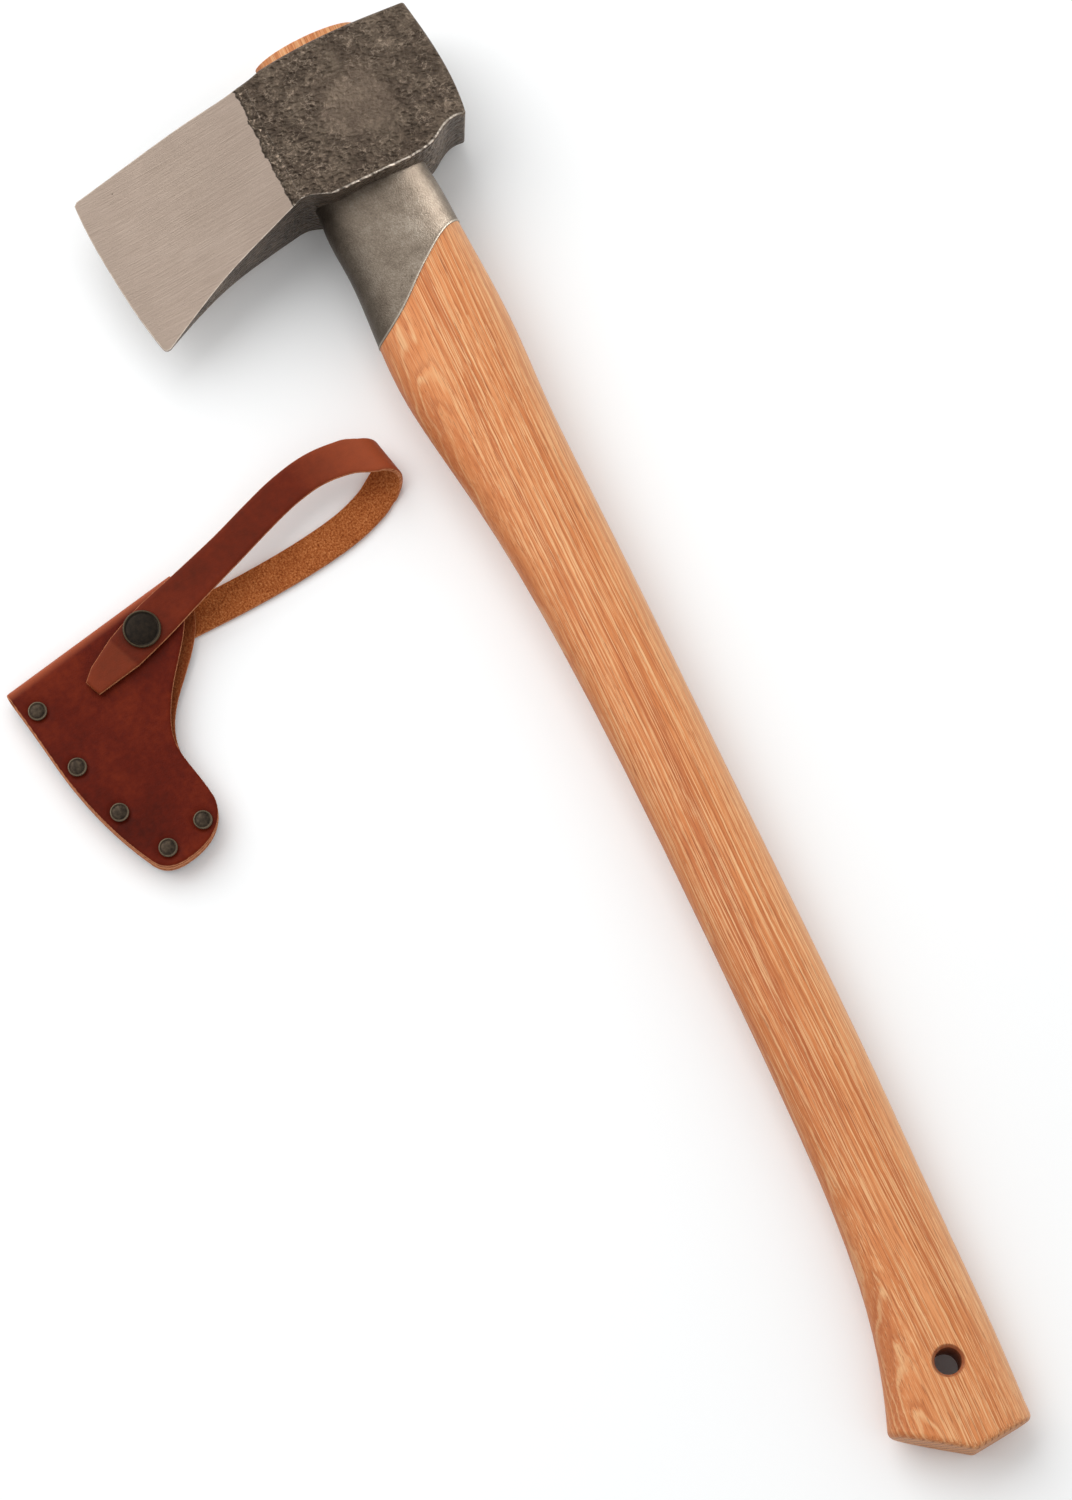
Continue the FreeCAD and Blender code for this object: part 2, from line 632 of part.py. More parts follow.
# The tip is cut to a blunt point, from the far corner of the upper run round to its near corner.
run_end = upper_sections[-1].Vertexes
near_corner, far_corner = sorted([(corner.X, corner.Y) for corner in run_end[:2]])
tip_corners = [far_corner] + TIP + [near_corner]
tip_runs = [list(pair) for pair in zip(tip_corners, tip_corners[1:] + tip_corners[:1])]
strap_tip = extrude("strap_tip", outline("tip_outline", tip_runs, level_plane(strap_low)), UP,
                    "Sizes.strap_thick")
strap_upper_run = cut("strap_upper_run", join("upper_band", upper_flat, strap_tip), cap_post)
doc.recompute()

# ---------------------------------------------------------------- lying on the table
# The axe leans on the lower edge of its cheek and on its butt. The whole row is moved so that the
# origin is under the middle of its box.
AXE_PARTS = {
    "axe_head": axe_head,
    "collar_guard": collar_guard,
    "handle": handle,
    "wooden_wedge": wooden_wedge,
    "steel_wedge": steel_wedge,
}
SHEATH_PARTS = {
    "sheath_leather": sheath_leather,
    "sheath_welt": sheath_welt,
    "sheath_rivet_caps": sheath_rivet_caps,
    "sheath_rivet_posts": sheath_rivet_posts,
    "strap_lower_run": strap_lower_run,
    "strap_upper_run": strap_upper_run,
    "strap_rivet_caps": strap_rivet_caps,
    "strap_rivet_posts": strap_rivet_posts,
    "snap_cap": snap_cap,
    "snap_socket": snap_socket,
    "snap_stud": snap_stud,
    "snap_eyelet": snap_eyelet,
}


def true_box(features, placement):
    """The tight box of some features after a placement, from a fine mesh of their surfaces."""
    points = []
    for feature in features:
        points += [placement.multVec(point) for point in feature.Shape.tessellate(0.05)[0]]
    low = Vec(min(p.x for p in points), min(p.y for p in points), min(p.z for p in points))
    high = Vec(max(p.x for p in points), max(p.y for p in points), max(p.z for p in points))
    return low, high


lie = FreeCAD.Placement(Vec(0, 0, 0), FreeCAD.Rotation(Vec(0, 1, 0), -size("lie_angle")))
lie.Base = UP * -true_box(AXE_PARTS.values(), lie)[0].z
flat = FreeCAD.Placement()
axe_low, axe_high = true_box(AXE_PARTS.values(), lie)
sheath_low, sheath_high = true_box(SHEATH_PARTS.values(), flat)
middle_x = (min(axe_low.x, sheath_low.x) + max(axe_high.x, sheath_high.x)) / 2.0
middle_y = (min(axe_low.y, sheath_low.y) + max(axe_high.y, sheath_high.y)) / 2.0
centring = Vec(-middle_x, -middle_y, 0)


def node(label, source, placement):
    """The finished piece in its place: its label names the file it is written to."""
    piece = doc.addObject("Part::Compound", label + "_in_place")
    piece.Links = [source]
    piece.Placement = FreeCAD.Placement(placement.Base + centring, placement.Rotation)
    piece.Label = label
    return piece


for feature in list(AXE_PARTS.values()) + list(SHEATH_PARTS.values()):
    feature.Label = feature.Name + "_drawn"
nodes = [node(label, source, lie) for label, source in AXE_PARTS.items()]
nodes += [node(label, source, flat) for label, source in SHEATH_PARTS.items()]
doc.recompute()

# ---------------------------------------------------------------- checks and files
for feature in doc.Objects:
    if "Invalid" in feature.State or "Error" in feature.State:
        raise RuntimeError("%s did not build: %s" % (feature.Name, feature.State))
os.makedirs("parts", exist_ok=True)
for piece in nodes:
    shape = piece.Shape
    if shape.isNull() or not shape.isValid() or not shape.Solids:
        raise RuntimeError("%s is not a valid solid" % piece.Label)
    shape.exportStep("parts/%s.step" % piece.Label)
    print("%-20s %2d solids %10.0f mm3" % (piece.Label, len(shape.Solids), shape.Volume))
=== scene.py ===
import json
import math

import bmesh
import bpy
from mathutils import Matrix, Vector
from mathutils.bvhtree import BVHTree


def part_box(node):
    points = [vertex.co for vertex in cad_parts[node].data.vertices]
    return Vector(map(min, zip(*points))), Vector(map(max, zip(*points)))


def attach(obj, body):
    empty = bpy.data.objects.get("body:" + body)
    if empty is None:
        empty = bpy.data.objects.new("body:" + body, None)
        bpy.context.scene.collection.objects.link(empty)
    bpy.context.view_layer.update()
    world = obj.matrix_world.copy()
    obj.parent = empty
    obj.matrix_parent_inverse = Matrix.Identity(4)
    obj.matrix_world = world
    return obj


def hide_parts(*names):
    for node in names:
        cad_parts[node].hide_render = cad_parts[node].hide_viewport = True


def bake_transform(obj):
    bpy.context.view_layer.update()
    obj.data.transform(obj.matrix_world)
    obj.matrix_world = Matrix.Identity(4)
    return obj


# A splitting axe with a steel collar guard, lying on a pale floor beside its leather sheath.
# Outlines are in millimetres, in the axe's own frame (+X from butt to head, +Y from poll to edge)
# or in the sheath's (level with the floor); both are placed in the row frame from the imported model.

MM = 0.001
HANG_HOLE = (-613.9, 18.9)          # in the axe's frame
SNAP = (-163.0, 185.4)              # this and the rivets are in the sheath's frame
EDGE_RIVETS = [(-174.9, 242.8), (-205.6, 238.2), (-232.4, 230.6), (-256.3, 218.5), (-251.9, 199.3)]
STRAP_RIVETS = [(-164.5, 172.0), (-165.5, 190.0)]
EDGE_CAP_RADIUS = 4.2
SNAP_RADIUS = 8.6

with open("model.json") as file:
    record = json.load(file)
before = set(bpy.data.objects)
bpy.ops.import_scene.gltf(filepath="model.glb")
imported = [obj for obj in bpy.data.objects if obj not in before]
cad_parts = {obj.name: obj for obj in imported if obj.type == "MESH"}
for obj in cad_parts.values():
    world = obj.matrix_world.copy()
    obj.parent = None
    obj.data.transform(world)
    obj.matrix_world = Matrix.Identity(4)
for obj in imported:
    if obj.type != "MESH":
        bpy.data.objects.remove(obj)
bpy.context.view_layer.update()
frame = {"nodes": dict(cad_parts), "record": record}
nodes = frame["nodes"]


# ---------------------------------------------------------------- the two drawing frames
def axe_frame():
    """Axe millimetres to row metres, from the hanging hole: it is square to the blade's plane."""
    hole = next(mount for mount in frame["record"]["mounts"] if mount["name"] == "hang_hole")
    up = Vector(hole["axis"]).normalized()
    along = Vector((up.z, 0, -up.x))
    turn = Matrix((along, (0, 1, 0), up)).transposed().to_4x4()
    in_axe = Vector((*HANG_HOLE, 0)) * MM
    shift = Vector(hole["pos_m"]) - turn @ in_axe
    return Matrix.Translation(shift) @ turn @ Matrix.Scale(MM, 4)


def sheath_frame():
    """Sheath millimetres to row metres, from the middle of the snap."""
    low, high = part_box("snap_cap")
    snap = Vector((*SNAP, 0)) * MM
    shift = Vector(((low.x + high.x) / 2, (low.y + high.y) / 2, 0)) - snap
    return Matrix.Translation(shift) @ Matrix.Scale(MM, 4)


AXE = axe_frame()
SHEATH = sheath_frame()


# ---------------------------------------------------------------- node helpers
class Surface:
    """A material and short ways to add nodes to it."""

    def __init__(self, name):
        self.material = bpy.data.materials.new(name)
        self.material.use_nodes = True
        self.tree = self.material.node_tree
        self.shader = self.tree.nodes["Principled BSDF"]

    def node(self, kind, **settings):
        made = self.tree.nodes.new(kind)
        for key, value in settings.items():
            setattr(made, key, value)
        return made

    def put(self, socket, value):
        """A link, a number or a colour goes into a socket."""
        if isinstance(value, bpy.types.NodeSocket):
            self.tree.links.new(value, socket)
        elif hasattr(socket.default_value, "__len__"):
            wanted = len(socket.default_value)
            numbers = list(value) if hasattr(value, "__len__") else [value] * wanted
            socket.default_value = (numbers + [1.0])[:wanted]
        else:
            socket.default_value = value

    def object_place(self, matrix=None):
        """Object coordinates, in row metres or in the millimetres of a drawing frame."""
        place = self.node("ShaderNodeTexCoord").outputs["Object"]
        if matrix is None:
            return place
        shift, turn, scale = matrix.inverted().decompose()
        return self.mapped(place, shift, turn.to_euler(), scale)

    def mapped(self, vector, shift=(0, 0, 0), turn=(0, 0, 0), scale=(1, 1, 1)):
        made = self.node("ShaderNodeMapping")
        self.put(made.inputs["Vector"], vector)
        made.inputs["Location"].default_value = shift
        made.inputs["Rotation"].default_value = turn
        made.inputs["Scale"].default_value = scale
        return made.outputs["Vector"]

    def noise(self, vector, scale, detail=3.0, rough=0.55, distortion=0.0):
        made = self.node("ShaderNodeTexNoise")
        self.put(made.inputs["Vector"], vector)
        self.put(made.inputs["Scale"], scale)
        self.put(made.inputs["Detail"], detail)
        self.put(made.inputs["Roughness"], rough)
        self.put(made.inputs["Distortion"], distortion)
        return made.outputs["Fac"]

    def cells(self, vector, scale):
        """Distance to the nearest of many scattered points."""
        made = self.node("ShaderNodeTexVoronoi")
        self.put(made.inputs["Vector"], vector)
        self.put(made.inputs["Scale"], scale)
        return made.outputs["Distance"]

    def math(self, operation, first, second=0.0):
        made = self.node("ShaderNodeMath", operation=operation)
        self.put(made.inputs[0], first)
        self.put(made.inputs[1], second)
        return made.outputs[0]

    def step(self, value, low, high, out_low=0.0, out_high=1.0):
        """A smooth rise from out_low to out_high as value goes from low to high."""
        made = self.node("ShaderNodeMapRange", interpolation_type="SMOOTHSTEP")
        for socket, number in zip(made.inputs, (value, low, high, out_low, out_high)):
            self.put(socket, number)
        return made.outputs[0]

    def mix(self, factor, first, second, blend="MIX"):
        made = self.node("ShaderNodeMix", data_type="RGBA", blend_type=blend)
        self.put(made.inputs[0], factor)
        self.put(made.inputs[6], first)
        self.put(made.inputs[7], second)
        return made.outputs[2]

    def blend(self, factor, first, second):
        """Numbers mixed, where mix mixes colours."""
        made = self.node("ShaderNodeMix", data_type="FLOAT")
        self.put(made.inputs[0], factor)
        self.put(made.inputs[2], first)
        self.put(made.inputs[3], second)
        return made.outputs[0]

    def ramp(self, value, stops):
        """A colour ramp of (place, colour) stops."""
        made = self.node("ShaderNodeValToRGB")
        self.put(made.inputs[0], value)
        band = made.color_ramp.elements
        while len(band) < len(stops):
            band.new(0.5)
        for element, (place, colour) in zip(band, stops):
            element.position = place
            element.color = (*colour, 1)
        return made.outputs[0]

    def distance(self, x, y, middle):
        """How far a place is from a middle, both across the same two axes."""
        squares = [self.math("POWER", self.math("SUBTRACT", value, centre), 2.0)
                   for value, centre in zip((x, y), middle)]
        return self.math("SQRT", self.math("ADD", *squares))

    def split(self, vector):
        made = self.node("ShaderNodeSeparateXYZ")
        self.put(made.inputs[0], vector)
        return made.outputs

    def join(self, x, y, z):
        made = self.node("ShaderNodeCombineXYZ")
        for socket, value in zip(made.inputs, (x, y, z)):
            self.put(socket, value)
        return made.outputs[0]

    def value_of(self, attribute):
        return self.node("ShaderNodeAttribute", attribute_name=attribute).outputs["Fac"]

    def normal(self):
        """The surface's own direction, in row axes."""
        return self.node("ShaderNodeTexCoord").outputs["Normal"]

    def edges(self, width):
        """One near a sharp edge and nought elsewhere: how far a rounded normal leans from the true one."""
        rounded = self.node("ShaderNodeBevel", samples=6)
        rounded.inputs["Radius"].default_value = width
        dot = self.node("ShaderNodeVectorMath", operation="DOT_PRODUCT")
        self.put(dot.inputs[0], rounded.outputs[0])
        self.put(dot.inputs[1], self.node("ShaderNodeNewGeometry").outputs["Normal"])
        return self.step(dot.outputs["Value"], 0.985, 0.9)

    def bump(self, height, depth):
        """Relief of a depth in metres, for a height that goes from 0 to 1."""
        made = self.node("ShaderNodeBump")
        made.inputs["Strength"].default_value = 1.0
        made.inputs["Distance"].default_value = depth
        self.put(made.inputs["Height"], height)
        return made.outputs[0]

    def finish(self, **sockets):
        for name, value in sockets.items():
            self.put(self.shader.inputs[name.replace("_", " ")], value)
        return self.material


def srgb(red, green, blue):
    """A linear colour from display values of 0 to 255."""
    def linear(value):
        value /= 255.0
        return value / 12.92 if value <= 0.04045 else ((value + 0.055) / 1.055) ** 2.4
    return linear(red), linear(green), linear(blue)


# ---------------------------------------------------------------- materials
GROUND_FROM = 42.8                  # mm across the head: the bit is ground from here to its edge
GROUND_ALL_ROUND = (112.0, 118.0)   # and near the edge on every side
BIT_FACING = (0.72, 0.8)            # how level a face has to be to count as the bit's face
CHEEK_MIDDLE = (3.0, -6.0)          # the smooth patch in the middle of the cheek
UNDERSIDE_TO = (50.0, 40.0)         # the rubbed wear and painted highlight along the cheek's lower edge end here


def forged_head():
    """Dark pitted forging scale with painted highlights on its ridges, a bit that is ground with fine lines,
    and edges rubbed bright under a painted highlight, most along the cheek's lower lip.
    """
    s = Surface("forged_steel")
    place = s.object_place(AXE)
    x, y = s.split(place)[:2]
    facing = s.math("ABSOLUTE", s.split(s.normal())[2])
    scallops = s.noise(s.mapped(place, scale=(0.2, 0.02, 0.02)), 1.0, 3.0, 0.6)
    border = s.math("ADD", GROUND_FROM, s.math("MULTIPLY", s.math("SUBTRACT", scallops, 0.5), 5.0))
    past = s.math("SUBTRACT", y, border)
    ground = s.math("MULTIPLY", s.step(past, -0.2, 0.2), s.step(facing, *BIT_FACING))
    ground = s.math("MAXIMUM", ground, s.step(y, *GROUND_ALL_ROUND))

    from_middle = s.distance(x, y, CHEEK_MIDDLE)
    wobble = s.math("MULTIPLY", s.noise(place, 0.05, 2.0), 24.0)
    rough_share = s.step(s.math("ADD", from_middle, wobble), 22.0, 34.0, 0.25, 1.0)
    pits = s.step(s.cells(s.mapped(place, scale=(1.0, 0.75, 1.0)), 0.44), 0.08, 0.6)
    wrinkles = s.noise(s.mapped(place, scale=(1.0, 0.6, 1.0)), 0.3, 4.0, 0.55, 1.2)
    fine = s.noise(place, 1.4, 4.0, 0.65)
    coarse = s.noise(place, 0.1, 3.0, 0.55)
    relief = s.math("ADD", s.math("MULTIPLY", pits, 0.35), s.math("MULTIPLY", wrinkles, 0.9))
    relief = s.math("ADD", s.math("MULTIPLY", relief, rough_share), s.math("MULTIPLY", fine, 0.12))
    scale_tone = s.ramp(s.blend(0.3, s.blend(0.28, coarse, wrinkles), fine), [
        (0.38, srgb(70, 59, 50)), (0.5, srgb(87, 75, 64)), (0.62, srgb(104, 91, 78)),
    ])

    lines = s.noise(s.mapped(place, scale=(1.9, 0.05, 0.04)), 1.0, 5.0, 0.75)
    clouds = s.noise(place, 0.035, 2.0)
    bright = s.ramp(s.blend(0.25, lines, clouds), [
        (0.34, srgb(135, 120, 108)), (0.5, srgb(145, 130, 118)), (0.66, srgb(154, 139, 127)),
    ])
    specks = s.step(s.cells(place, 0.075), 0.018, 0.035)
    bright = s.mix(specks, srgb(60, 50, 42), bright)
    seam = s.math("MULTIPLY", s.step(past, -1.3, -0.2), s.step(past, 0.25, -0.05))
    colour = s.mix(ground, scale_tone, bright)
    colour = s.mix(s.math("MULTIPLY", seam, s.step(y, 60.0, 55.0, 0.0, 0.55)), colour, srgb(48, 42, 36))
    # Painted highlight: thin light lines along the ridges of the rough scale, away from the bit, as if its
    # relief caught the light.
    waves = s.noise(s.mapped(place, scale=(1.0, 0.55, 1.0)), 0.4, 2.0)
    ridges = s.math("ABSOLUTE", s.math("SUBTRACT", waves, 0.5))
    unground = s.math("MULTIPLY", rough_share, s.step(ground, 0.5, 0.0))
    lit = s.math("MULTIPLY", s.step(ridges, 0.035, 0.008), unground)
    lit = s.math("MULTIPLY", lit, s.step(s.noise(place, 0.16, 2.0), 0.42, 0.58))
    colour = s.mix(s.math("MULTIPLY", lit, 0.5), colour, srgb(150, 134, 118))
    # Rubbed wear with a painted highlight: sharp edges, and the faces that turn down to the cheek's lower
    # lip, are made bright.
    lower = s.step(s.split(s.normal())[0], -0.12, -0.25)
    under = s.math("MULTIPLY", s.step(facing, 0.975, 0.9), s.step(facing, 0.5, 0.72))
    under = s.math("MULTIPLY", under, lower)
    under = s.math("MULTIPLY", under, s.step(y, *UNDERSIDE_TO))
    wear_and_highlight = s.math("MAXIMUM", s.edges(0.9 * MM), under)
    wear_and_highlight = s.math("MULTIPLY", wear_and_highlight, s.step(s.noise(place, 0.2, 3.0), 0.36, 0.5, 0.4, 1.0))
    colour = s.mix(wear_and_highlight, colour, srgb(192, 181, 168))
    rough = s.blend(ground, s.blend(fine, 0.3, 0.5), s.blend(lines, 0.42, 0.54))
    height = s.blend(ground, relief, s.math("ADD", 0.5, s.math("MULTIPLY", lines, 0.04)))
    return s.finish(Base_Color=colour, Metallic=0.9, Roughness=rough, Normal=s.bump(height, 0.0046))


def collar_steel():
    """Dull blasted sheet steel, mottled, with a few dark specks, painted shade on its front side and a
    painted highlight on its lip.
    """
    s = Surface("collar_steel")
    place = s.object_place(AXE)
    mottle = s.noise(place, 0.1, 5.0, 0.7)
    grain = s.noise(place, 1.3, 4.0, 0.65)
    tone = s.ramp(s.blend(0.45, mottle, grain), [
        (0.34, srgb(88, 78, 68)), (0.5, srgb(114, 103, 91)), (0.66, srgb(140, 130, 118)),
    ])
    specks = s.step(s.cells(place, 0.085), 0.03, 0.055)
    tone = s.mix(specks, srgb(40, 35, 30), tone)
    # Painted shade: faces that turn to the front of the axe are darkened.
    painted_front_shade = s.step(s.split(s.normal())[1], -0.1, 0.7, 0.0, 0.55)
    tone = s.mix(painted_front_shade, tone, srgb(58, 50, 42))
    # Painted highlight along the rolled lip.
    tone = s.mix(s.math("MULTIPLY", s.value_of("lip"), 0.6), tone, srgb(182, 172, 158))
    rough = s.blend(mottle, 0.36, 0.52)
    return s.finish(Base_Color=tone, Metallic=0.88, Roughness=rough, Normal=s.bump(grain, 0.00022))


FLARE_FROM = 34.0                   # mm across the grain: the rings are cut aslant from here forwards
FLARE_FULL = (1.0, 9.0)             # mm past that, where the arches come in
BUTT_TO_BELLY = (-450.0, -350.0)    # mm along the handle, between its two flared stretches
RINGS_PER_MM = 0.34
CHAMFER = (7.8, 6.6)                # mm from the middle of the hanging hole


def hickory():
    """Oiled hickory: bent growth rings, pale and dark fibres and fine dark pores."""
    s = Surface("hickory")
    place = s.object_place(AXE)
    x, y, z = s.split(place)
    # Across the grain: it runs straight along the back edge, and where the front flares the rings are
    # cut aslant and show as nested arches.
    across = s.math("ADD", s.math("ADD", y, s.math("MULTIPLY", x, 0.031)), 25.0)
    past = s.math("MAXIMUM", s.math("SUBTRACT", across, FLARE_FROM), 0.0)
    arch = s.math("MULTIPLY", s.math("MULTIPLY", past, past), -0.045)
    along = s.math("ADD", x, s.step(x, *BUTT_TO_BELLY, 605.0, 150.0))
    slope = s.math("MULTIPLY", s.math("MULTIPLY", along, -0.07), s.step(past, 0.0, 9.0))
    sway = s.math("SUBTRACT", s.noise(s.mapped(place, scale=(0.004, 0.01, 0.01)), 1.0, 1.0), 0.5)
    wander = s.math("SUBTRACT", s.noise(s.mapped(place, scale=(0.02, 0.06, 0.06)), 1.0, 2.0, 0.5), 0.5)
    shift = s.math("ADD", s.math("ADD", arch, slope), s.math("MULTIPLY", sway, 9.0))
    shift = s.math("ADD", shift, s.math("MULTIPLY", wander, s.step(past, 0.0, 9.0, 1.5, 9.0)))
    jag = s.math("SUBTRACT", s.noise(s.mapped(place, scale=(0.11, 0.6, 0.6)), 1.0, 3.0), 0.5)
    jag = s.math("MULTIPLY", jag, 1.2)
    depth = s.math("ADD", s.math("ADD", across, shift), s.math("MULTIPLY", z, 0.35))
    bent = s.join(x, depth, z)
    straight = s.join(x, s.math("ADD", across, s.math("MULTIPLY", sway, 9.0)), z)
    broad = s.noise(s.mapped(bent, scale=(0.005, 0.13, 0.13)), 1.0, 4.0, 0.65)
    tone = s.ramp(broad, [
        (0.34, srgb(192, 110, 60)), (0.46, srgb(209, 128, 73)),
        (0.57, srgb(218, 140, 85)), (0.7, srgb(227, 153, 99)),
    ])
    rings = s.math("FRACT", s.math("MULTIPLY", s.math("ADD", depth, jag), RINGS_PER_MM))
    band = s.math("MULTIPLY", s.step(rings, 0.0, 0.14), s.step(rings, 0.42, 0.16))
    broken = s.step(s.noise(s.mapped(straight, scale=(0.012, 0.3, 0.3)), 1.0, 2.0), 0.36, 0.6)
    arched = s.math("MULTIPLY", s.step(past, *FLARE_FULL), s.step(x, *BUTT_TO_BELLY, 0.85, 0.3))
    band = s.math("MULTIPLY", band, s.math("MAXIMUM", broken, arched))
    tone = s.mix(s.math("MULTIPLY", band, 0.75), tone, srgb(236, 186, 134))
    shade_line = s.math("MULTIPLY", s.step(rings, 0.7, 0.95), s.step(rings, 1.0, 0.97))
    tone = s.mix(s.math("MULTIPLY", shade_line, 0.4), tone, srgb(168, 92, 48))
    pale = s.noise(s.mapped(straight, scale=(0.016, 1.9, 1.9)), 1.0, 3.0, 0.65)
    calm = s.step(past, *FLARE_FULL, 1.0, 0.45)
    tone = s.mix(s.math("MULTIPLY", s.step(pale, 0.52, 0.63, 0.0, 0.66), calm), tone, srgb(241, 194, 143))
    tone = s.mix(s.math("MULTIPLY", s.step(pale, 0.47, 0.36, 0.0, 0.5), calm), tone, srgb(162, 88, 46))
    dashes = s.noise(s.mapped(straight, scale=(0.07, 2.3, 2.3), shift=(7.0, 3.0, 1.0)), 1.0, 2.0, 0.6)
    tone = s.mix(s.step(dashes, 0.42, 0.32, 0.0, 0.6), tone, srgb(138, 72, 36))
    # Painted shade: faces turned to the front of the handle are darker.
    painted_front_shade = s.step(s.split(s.normal())[1], 0.15, 1.0, 0.0, 0.5)
    tone = s.mix(painted_front_shade, tone, srgb(142, 76, 40))
    # Painted light: faces turned to the back of the handle are lighter.
    back = s.step(s.split(s.normal())[1], -0.1, -0.9, 0.0, 0.45)
    tone = s.mix(back, tone, srgb(238, 188, 142))
    ends = s.math("MULTIPLY", s.step(s.split(s.normal())[0], -0.5, -0.8), s.step(x, -625.0, -628.0))
    end_dots = s.step(s.cells(s.mapped(place, scale=(0.2, 1.0, 1.0)), 1.2), 0.1, 0.5)
    end_tone = s.mix(end_dots, srgb(150, 86, 46), srgb(196, 136, 88))
    end_rings = s.math("FRACT", s.math("MULTIPLY", s.math("ADD", across, s.math("MULTIPLY", z, 0.35)), 0.3))
    end_tone = s.mix(s.step(end_rings, 0.6, 0.95, 0.0, 0.7), end_tone, srgb(128, 70, 36))
    tone = s.mix(ends, tone, end_tone)
    from_hole = s.distance(x, y, HANG_HOLE)
    tone = s.mix(s.step(from_hole, *CHAMFER, 0.0, 0.75), tone, srgb(128, 58, 28))
    relief = s.math("ADD", s.math("MULTIPLY", dashes, 0.6), s.math("MULTIPLY", pale, 0.3))
    rough = s.blend(broad, 0.4, 0.56)
    return s.finish(Base_Color=tone, Roughness=rough, Specular_IOR_Level=0.3, Normal=s.bump(relief, 0.00025))


def wedge_wood():
    """Darker wood with its end grain showing."""
    s = Surface("wedge_wood")
    place = s.object_place(AXE)
    dots = s.cells(s.mapped(place, scale=(0.2, 1.0, 1.0)), 1.6)
    tone = s.ramp(dots, [(0.1, srgb(128, 74, 40)), (0.5, srgb(190, 128, 78))])
    return s.finish(Base_Color=tone, Roughness=0.62, Normal=s.bump(dots, 0.0002))


def wedge_steel():
    s = Surface("wedge_steel")
    place = s.object_place(AXE)
    scuffs = s.noise(place, 1.1, 4.0, 0.7)
    tone = s.ramp(scuffs, [(0.3, srgb(96, 90, 84)), (0.7, srgb(150, 145, 138))])
    return s.finish(Base_Color=tone, Metallic=0.95, Roughness=s.blend(scuffs, 0.32, 0.5),
                    Normal=s.bump(scuffs, 0.0002))


def leather():
    """Vegetable-tanned leather: a smooth grain side, a suede flesh side and pale cut edges.
    The attributes flesh and cut say which is which, and a third marks the fold and the strap's bend, which
    are lighter from rubbed wear and a painted sheen."""
    s = Surface("tanned_leather")
    place = s.object_place(SHEATH)
    flesh = s.value_of("flesh")
    cut = s.value_of("cut")
    rubbed_and_sheen = s.value_of("rubbed_and_sheen")
    clouds = s.noise(place, 0.022, 3.0, 0.55)
    mottle = s.noise(place, 0.3, 4.0, 0.6)
    wrinkles = s.noise(s.mapped(place, turn=(0, 0, 0.7), scale=(0.5, 0.16, 0.5)), 1.0, 4.0, 0.65, 0.6)
    pebbles = s.cells(place, 1.7)
    grain_tone = s.ramp(s.blend(0.3, clouds, mottle), [
        (0.34, srgb(66, 13, 2)), (0.5, srgb(88, 21, 5)), (0.66, srgb(108, 34, 11)),
    ])
    # Rubbed wear with a painted sheen: lighter along the fold and round the strap's bend.
    grain_tone = s.mix(s.math("MULTIPLY", rubbed_and_sheen, 0.8), grain_tone, srgb(174, 90, 56))
    nap = s.noise(place, 1.1, 5.0, 0.75)
    flesh_tone = s.ramp(nap, [
        (0.36, srgb(122, 58, 24)), (0.5, srgb(168, 94, 48)), (0.66, srgb(204, 134, 82)),
    ])
    shaded = s.step(s.noise(place, 0.06, 3.0), 0.35, 0.65)
    flesh_tone = s.mix(shaded, flesh_tone, s.mix(1.0, flesh_tone, (0.86, 0.8, 0.76), "MULTIPLY"))
    fibre = s.noise(s.mapped(place, scale=(0.5, 0.5, 2.2)), 1.0, 3.0, 0.6)
    cut_tone = s.ramp(fibre, [(0.3, srgb(138, 72, 42)), (0.65, srgb(214, 146, 104))])
    tone = s.mix(flesh, grain_tone, flesh_tone)
    tone = s.mix(cut, tone, cut_tone)
    raw = s.math("MAXIMUM", flesh, cut)
    rough = s.blend(raw, s.blend(mottle, 0.42, 0.56), 0.92)
    smooth_relief = s.math("ADD", s.math("MULTIPLY", pebbles, 0.1), s.math("MULTIPLY", wrinkles, 0.3))
    height = s.blend(raw, smooth_relief, nap)
    return s.finish(Base_Color=tone, Roughness=rough, Specular_IOR_Level=0.08, Normal=s.bump(height, 0.0005))


def antique_metal(name, dark, light, wear_and_highlight):
    """Antiqued metal: dark tarnish that varies at random, brighter on the rolled rim from rubbed wear and a
    painted highlight; rim marks that ring.
    """
    s = Surface(name)
    place = s.object_place(SHEATH)
    tarnish = s.noise(place, 0.55, 4.0, 0.6)
    scuffs = s.noise(place, 3.0, 3.0, 0.6)
    tone = s.ramp(tarnish, [(0.34, dark), (0.68, light)])
    # Rubbed wear with a painted highlight on the rim.
    tone = s.mix(s.math("MULTIPLY", s.value_of("rim"), s.step(scuffs, 0.35, 0.55, 0.5, 1.0)), tone, wear_and_highlight)
    return s.finish(Base_Color=tone, Metallic=0.85, Roughness=s.blend(scuffs, 0.3, 0.46),
                    Normal=s.bump(scuffs, 0.00006))


# ---------------------------------------------------------------- mesh helpers
def mesh_piece(name, vertices, faces, material, attributes):
    """A smooth-shaded piece from vertices in row metres; attributes hold one number for each vertex."""
    mesh = bpy.data.meshes.new(name)
    mesh.from_pydata([tuple(v) for v in vertices], [], faces)
    mesh.update()
    mark(mesh, attributes)
    shade(mesh)
    mesh.materials.append(material)
    piece = bpy.data.objects.new(name, mesh)
    bpy.context.scene.collection.objects.link(piece)
    return piece


def mark(mesh, attributes):
    """Named numbers, one for each vertex, that the materials read."""
    for key, values in attributes.items():
        mesh.attributes.new(key, "FLOAT", "POINT").data.foreach_set("value", values)


